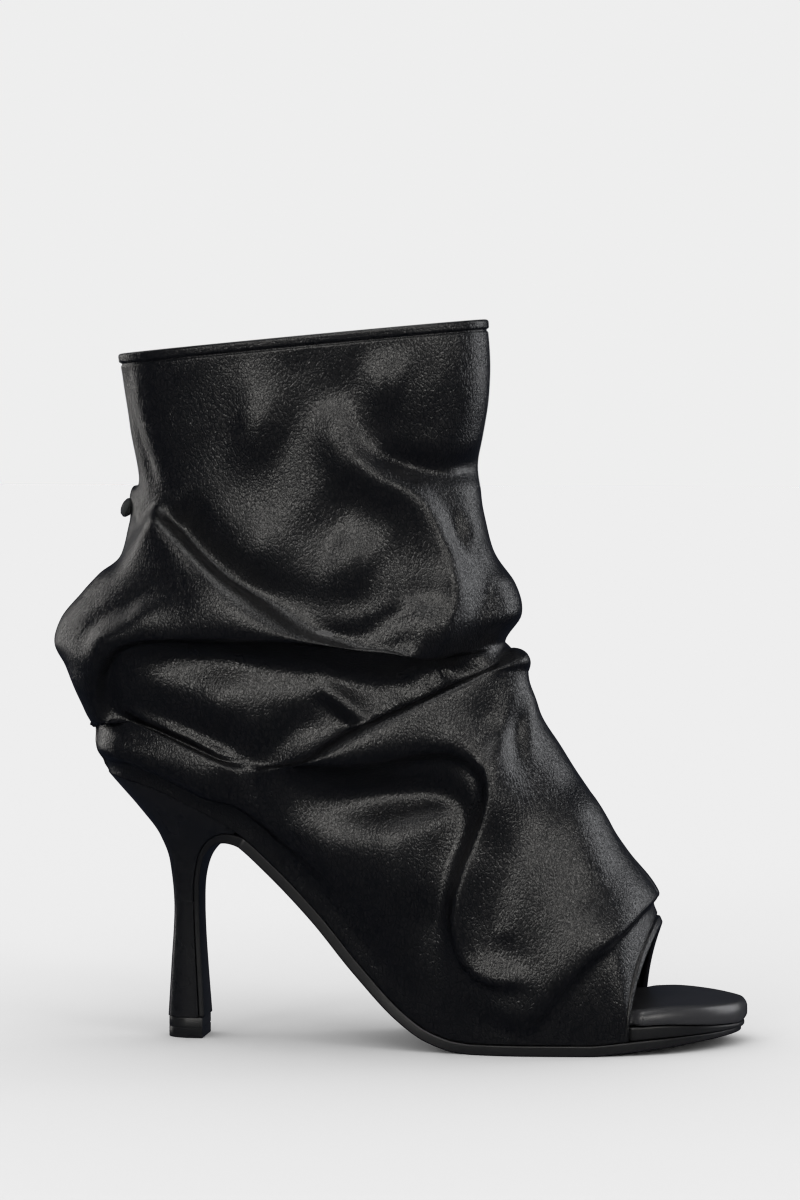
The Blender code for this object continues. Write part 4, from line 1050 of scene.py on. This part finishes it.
def board_top(x):
    """The board's upper face above the last's edge."""
    return GAP + BOARD_THICKNESS * table(LAYERS, "board", share_along(x))


def widened(x, hidden, shown, start):
    """How far out a layer reaches: hidden under the upper behind the toe strap, shown ahead of it."""
    return hidden + (shown - hidden) * soft_step((x - start) / WIDENS_OVER)


strap = float(along(RIM_ALONG))
board = layer_on_last(
    "insole_edge", lambda x: widened(x, -LEATHER - 2 * GAP, -BOARD_EDGE, strap + GAP), lambda x: GAP + 0 * x,
    lambda x: board_top(x) - GAP, BOARD_CORNERS, 0.0, BOARD_NOSE, sole_look)
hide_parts("insole_board")
sock = layer_on_last(
    "padded_sock", lambda x: widened(x, -LEATHER - SOCK_CLEARANCE, 0.0, strap + SOCK_WIDENS_AHEAD),
    lambda x: board_top(x) + GAP, lambda x: SOCK_THICKNESS * table(LAYERS, "sock", share_along(x)),
    SOCK_CORNERS, SOCK_CROWN, SOCK_NOSE, sock_look)
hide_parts("insole_sock")
print("board and sock:", len(board.data.polygons), len(sock.data.polygons), "faces")

# %% [markdown]
# The outsole runs up the arch, leaves the last under the seat and turns down the heel's breast as
# a thin flap. Its side view is one path, and the heel is lofted against that same path, so the two
# meet all the way down to the tip.


# %% The outsole's path down the heel
FLAP_SAMPLES = 601
FLAP_STATIONS = 110


def path_normals(path):
    """Unit normals of a path in the side view, to the left of the way that it runs."""
    tangent = unit(np.gradient(path, axis=0))
    return np.stack((-tangent[:, 1], tangent[:, 0]), axis=1)


def flap_points():
    """The flap's named places in the side view, with one before it to set its slope."""
    leave = along(SEAT_LEAVES_ALONG)
    before = along(SEAT_LEAVES_ALONG + FLAP_LEAD)
    points = [(before, last_height(before)), (leave, last_height(leave))]
    points += [(TIP_DEPTH * row.depth, HEEL_HEIGHT * row.rise) for row in FLAP[:-1]]
    points.append((TIP_DEPTH * FLAP[-1].depth, TIP_HEIGHT + GAP))
    return np.array(points, dtype=float)


FLAP_KNOTS = arc_shares(flap_points())
FLAP_LINE = flowing(FLAP_KNOTS, flap_points(), np.linspace(FLAP_KNOTS[1], 1, FLAP_SAMPLES))
FLAP_REACH = arc_shares(FLAP_LINE)
FLAP_NORMALS = -path_normals(FLAP_LINE)


def flap_places(shares):
    """Points, normals toward the heel and side widths at shares along the breast flap."""
    stem = TIP_WIDTH / 2 * np.concatenate(([FLAP[0].width], column(FLAP, "width")))
    flare = np.concatenate(([1.0], column(FLAP, "flare")))
    rows = (FLAP_KNOTS[1:] - FLAP_KNOTS[1]) / (1 - FLAP_KNOTS[1])
    rows = FLAP_REACH[[np.argmin(np.abs(FLAP_REACH - share)) for share in rows]]
    sides = []
    for name, sign in (("outer", -1), ("inner", 1)):
        seat = outline_side(turn_of(np.array([SEAT_LEAVES_ALONG])), name)[0, 1]
        sides.append(steady(rows, sign * stem * (1 - flare) + seat * flare, np.asarray(shares, dtype=float)))
    pick = [np.interp(shares, FLAP_REACH, values) for values in (*FLAP_LINE.T, *FLAP_NORMALS.T)]
    return np.stack(pick[:2], axis=1), np.stack(pick[2:4], axis=1), sides[0], sides[1]


def build_outsole():
    """Rows of the outsole from toe to heel tip: points at both sides of its underside, and a way up."""
    turns = np.linspace(turn_of(SEAT_LEAVES_ALONG), LAST_TURN, SOLE_STATIONS)[::-1]
    x = outline_side(turns, "outer")[:, 0]
    ledge = SOLE_LEDGE * table(LAYERS, "ledge", share_along(x))
    outer, inner = (edge_lines(turns[::-1], side, ledge[::-1])[::-1] for side in ("outer", "inner"))
    thick = OUTSOLE_THICKNESS * table(LAYERS, "outsole", share_along(x))
    low, far = on_last(outer[:, 0], outer[:, 1], -thick), on_last(inner[:, 0], inner[:, 1], -thick)
    upward = on_last(x, 0 * x, 1.0) - on_last(x, 0 * x, 0.0)
    shares = np.linspace(0, 1, FLAP_STATIONS + 1)[1:]
    places, normals, left, right = flap_places(shares)
    thin = OUTSOLE_THICKNESS + (BREAST_FLAP - OUTSOLE_THICKNESS) * soft_step(shares / FLAP_THINS_BY)
    normals = np.stack((normals[:, 0], 0 * shares, normals[:, 1]), axis=1)
    face = np.stack((places[:, 0], 0 * shares, places[:, 1]), axis=1) - normals * thin[:, None]
    sideways = np.array((0.0, 1.0, 0.0))
    low = np.concatenate((low, face + sideways * left[:, None]))
    far = np.concatenate((far, face + sideways * right[:, None]))
    return slab("outsole_shaped", low, far, np.concatenate((upward, normals)), np.concatenate((thick, thin)),
                *SOLE_CORNERS, 0.0, sole_look)


outsole = build_outsole()
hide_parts("outsole")
print("outsole:", len(outsole.data.polygons), "faces")

# %% [markdown]
# The heel is a loft too. Each ring goes round the heel from one edge of the breast to the other.
# At the foot the ring is a rounded D, at the seat it is the shoe's own outline, and the share of
# each changes with height.

# %% The covered heel and its tip
HEEL_ROWS = 90
BREAST_STEPS = 12
SEAT_STEPS = 46
TIP_SHARP_TURN = 40
HEEL_SHARP_TURN = 50
TIP_ROWS = (
    (0.985, 0.0), (1.0, 0.0002), (1.0, 0.0033), (0.985, 0.0034),
    (0.985, 0.0037), (1.0, 0.0038), (1.0, 0.0068), (0.985, 0.0070),
)


def seat_shape():
    """The seat's outline behind the breast, as shares of its depth and of its width at the breast."""
    turns = np.linspace(turn_of(OUTLINE[0].along), turn_of(BREAST_ALONG), SEAT_STEPS)[::-1]
    outer, inner = outline_side(turns, "outer"), outline_side(turns, "inner")
    depth = (outer[0, 0] - outer[:, 0]) / (outer[0, 0] - outer[-1, 0])
    deep = np.concatenate((depth, depth[-2::-1]))
    wide = np.concatenate((outer[:, 1] / -outer[0, 1], (inner[:, 1] / inner[0, 1])[-2::-1]))
    return deep, wide


SEAT_DEEP, SEAT_WIDE = seat_shape()


def heel_ring(step):
    """One ring at a step from the foot, 0, to the seat, 1: a rounded D blended into the seat's outline."""
    back, up, flare = (float(table(HEEL, name, step, by="step")) for name in ("back", "rise", "flare"))
    foot = TIP_HEIGHT + GAP
    seat_back = float(along(OUTLINE[0].along))
    back_x = TIP_DEPTH * back * (1 - flare) + seat_back * flare
    back_z = foot + (float(last_height(seat_back)) - foot) * up
    breast = float(FLAP_REACH[np.argmax(FLAP_LINE[:, 0] <= along(BREAST_ALONG))])
    place, normal, outer, inner = flap_places(np.array([breast + (1 - breast) * (1 - step)]))
    front_x, front_z = place[0] + normal[0] * GAP
    swing = np.linspace(0, math.pi, len(SEAT_DEEP))
    side_to_side = -np.sign(np.cos(swing)) * np.abs(np.cos(swing)) ** HEEL_SQUARENESS
    deep = np.sin(swing) ** HEEL_SQUARENESS * (1 - flare) + SEAT_DEEP * flare
    wide = side_to_side * (1 - flare) + SEAT_WIDE * flare
    x = front_x + (back_x - front_x) * deep
    y = np.where(wide < 0, -outer[0], inner[0]) * wide
    z = front_z + (back_z - front_z) * deep
    bow = last_height(x) - (last_height(front_x) + (last_height(back_x) - last_height(front_x)) * deep)
    side = np.stack((x, y, z + bow * flare), axis=1)
    across = np.linspace(0, 1, BREAST_STEPS + 1)[1:-1, None]
    return np.concatenate((side, side[-1] + (side[0] - side[-1]) * across))


def ring_body(name, rings, material):
    """A closed body from a stack of rings, with a flat cap at each end."""
    count = len(rings[0])
    caps = [tuple(range(count))[::-1], tuple(range((len(rings) - 1) * count, len(rings) * count))]
    return closed_piece(name, np.concatenate(rings), grid_quads(len(rings), count, True), material, caps)


rings = [heel_ring(step) for step in np.linspace(0, 1, HEEL_ROWS)]
rings[-1] = (rings[-1] + rings[-2]) / 2
seat = heel_ring(1.0)
seat[:, 2] = last_height(seat[:, 0])
rings.append(seat)
heel = ring_body("heel_covered", rings, heel_look)
heel.data.set_sharp_from_angle(angle=math.radians(HEEL_SHARP_TURN))
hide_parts("heel")

foot_ring = heel_ring(0.0)[:, :2][:1 - BREAST_STEPS]
foot_ring = foot_ring + np.array((TIP_INSET, 0)) * np.sign(-foot_ring)
foot_ring[0, 0] = foot_ring[-1, 0] = TIP_DEPTH / 2 - TIP_INSET
middle = foot_ring.mean(axis=0)
tip_rings = []
for scale, height in TIP_ROWS:
    ring = middle + (foot_ring - middle) * scale
    tip_rings.append(np.column_stack((ring, np.full(len(ring), height))))
tip = ring_body("heel_tip_shaped", tip_rings, sole_look)
tip.data.set_sharp_from_angle(angle=math.radians(TIP_SHARP_TURN))
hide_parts("heel_tip")
print("heel and tip:", len(heel.data.polygons), len(tip.data.polygons), "faces")

# %% The stud keeps its solid and gets a dark enamel
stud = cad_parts["pleat_stud"]
stud.data.materials.clear()
stud.data.materials.append(stud_look)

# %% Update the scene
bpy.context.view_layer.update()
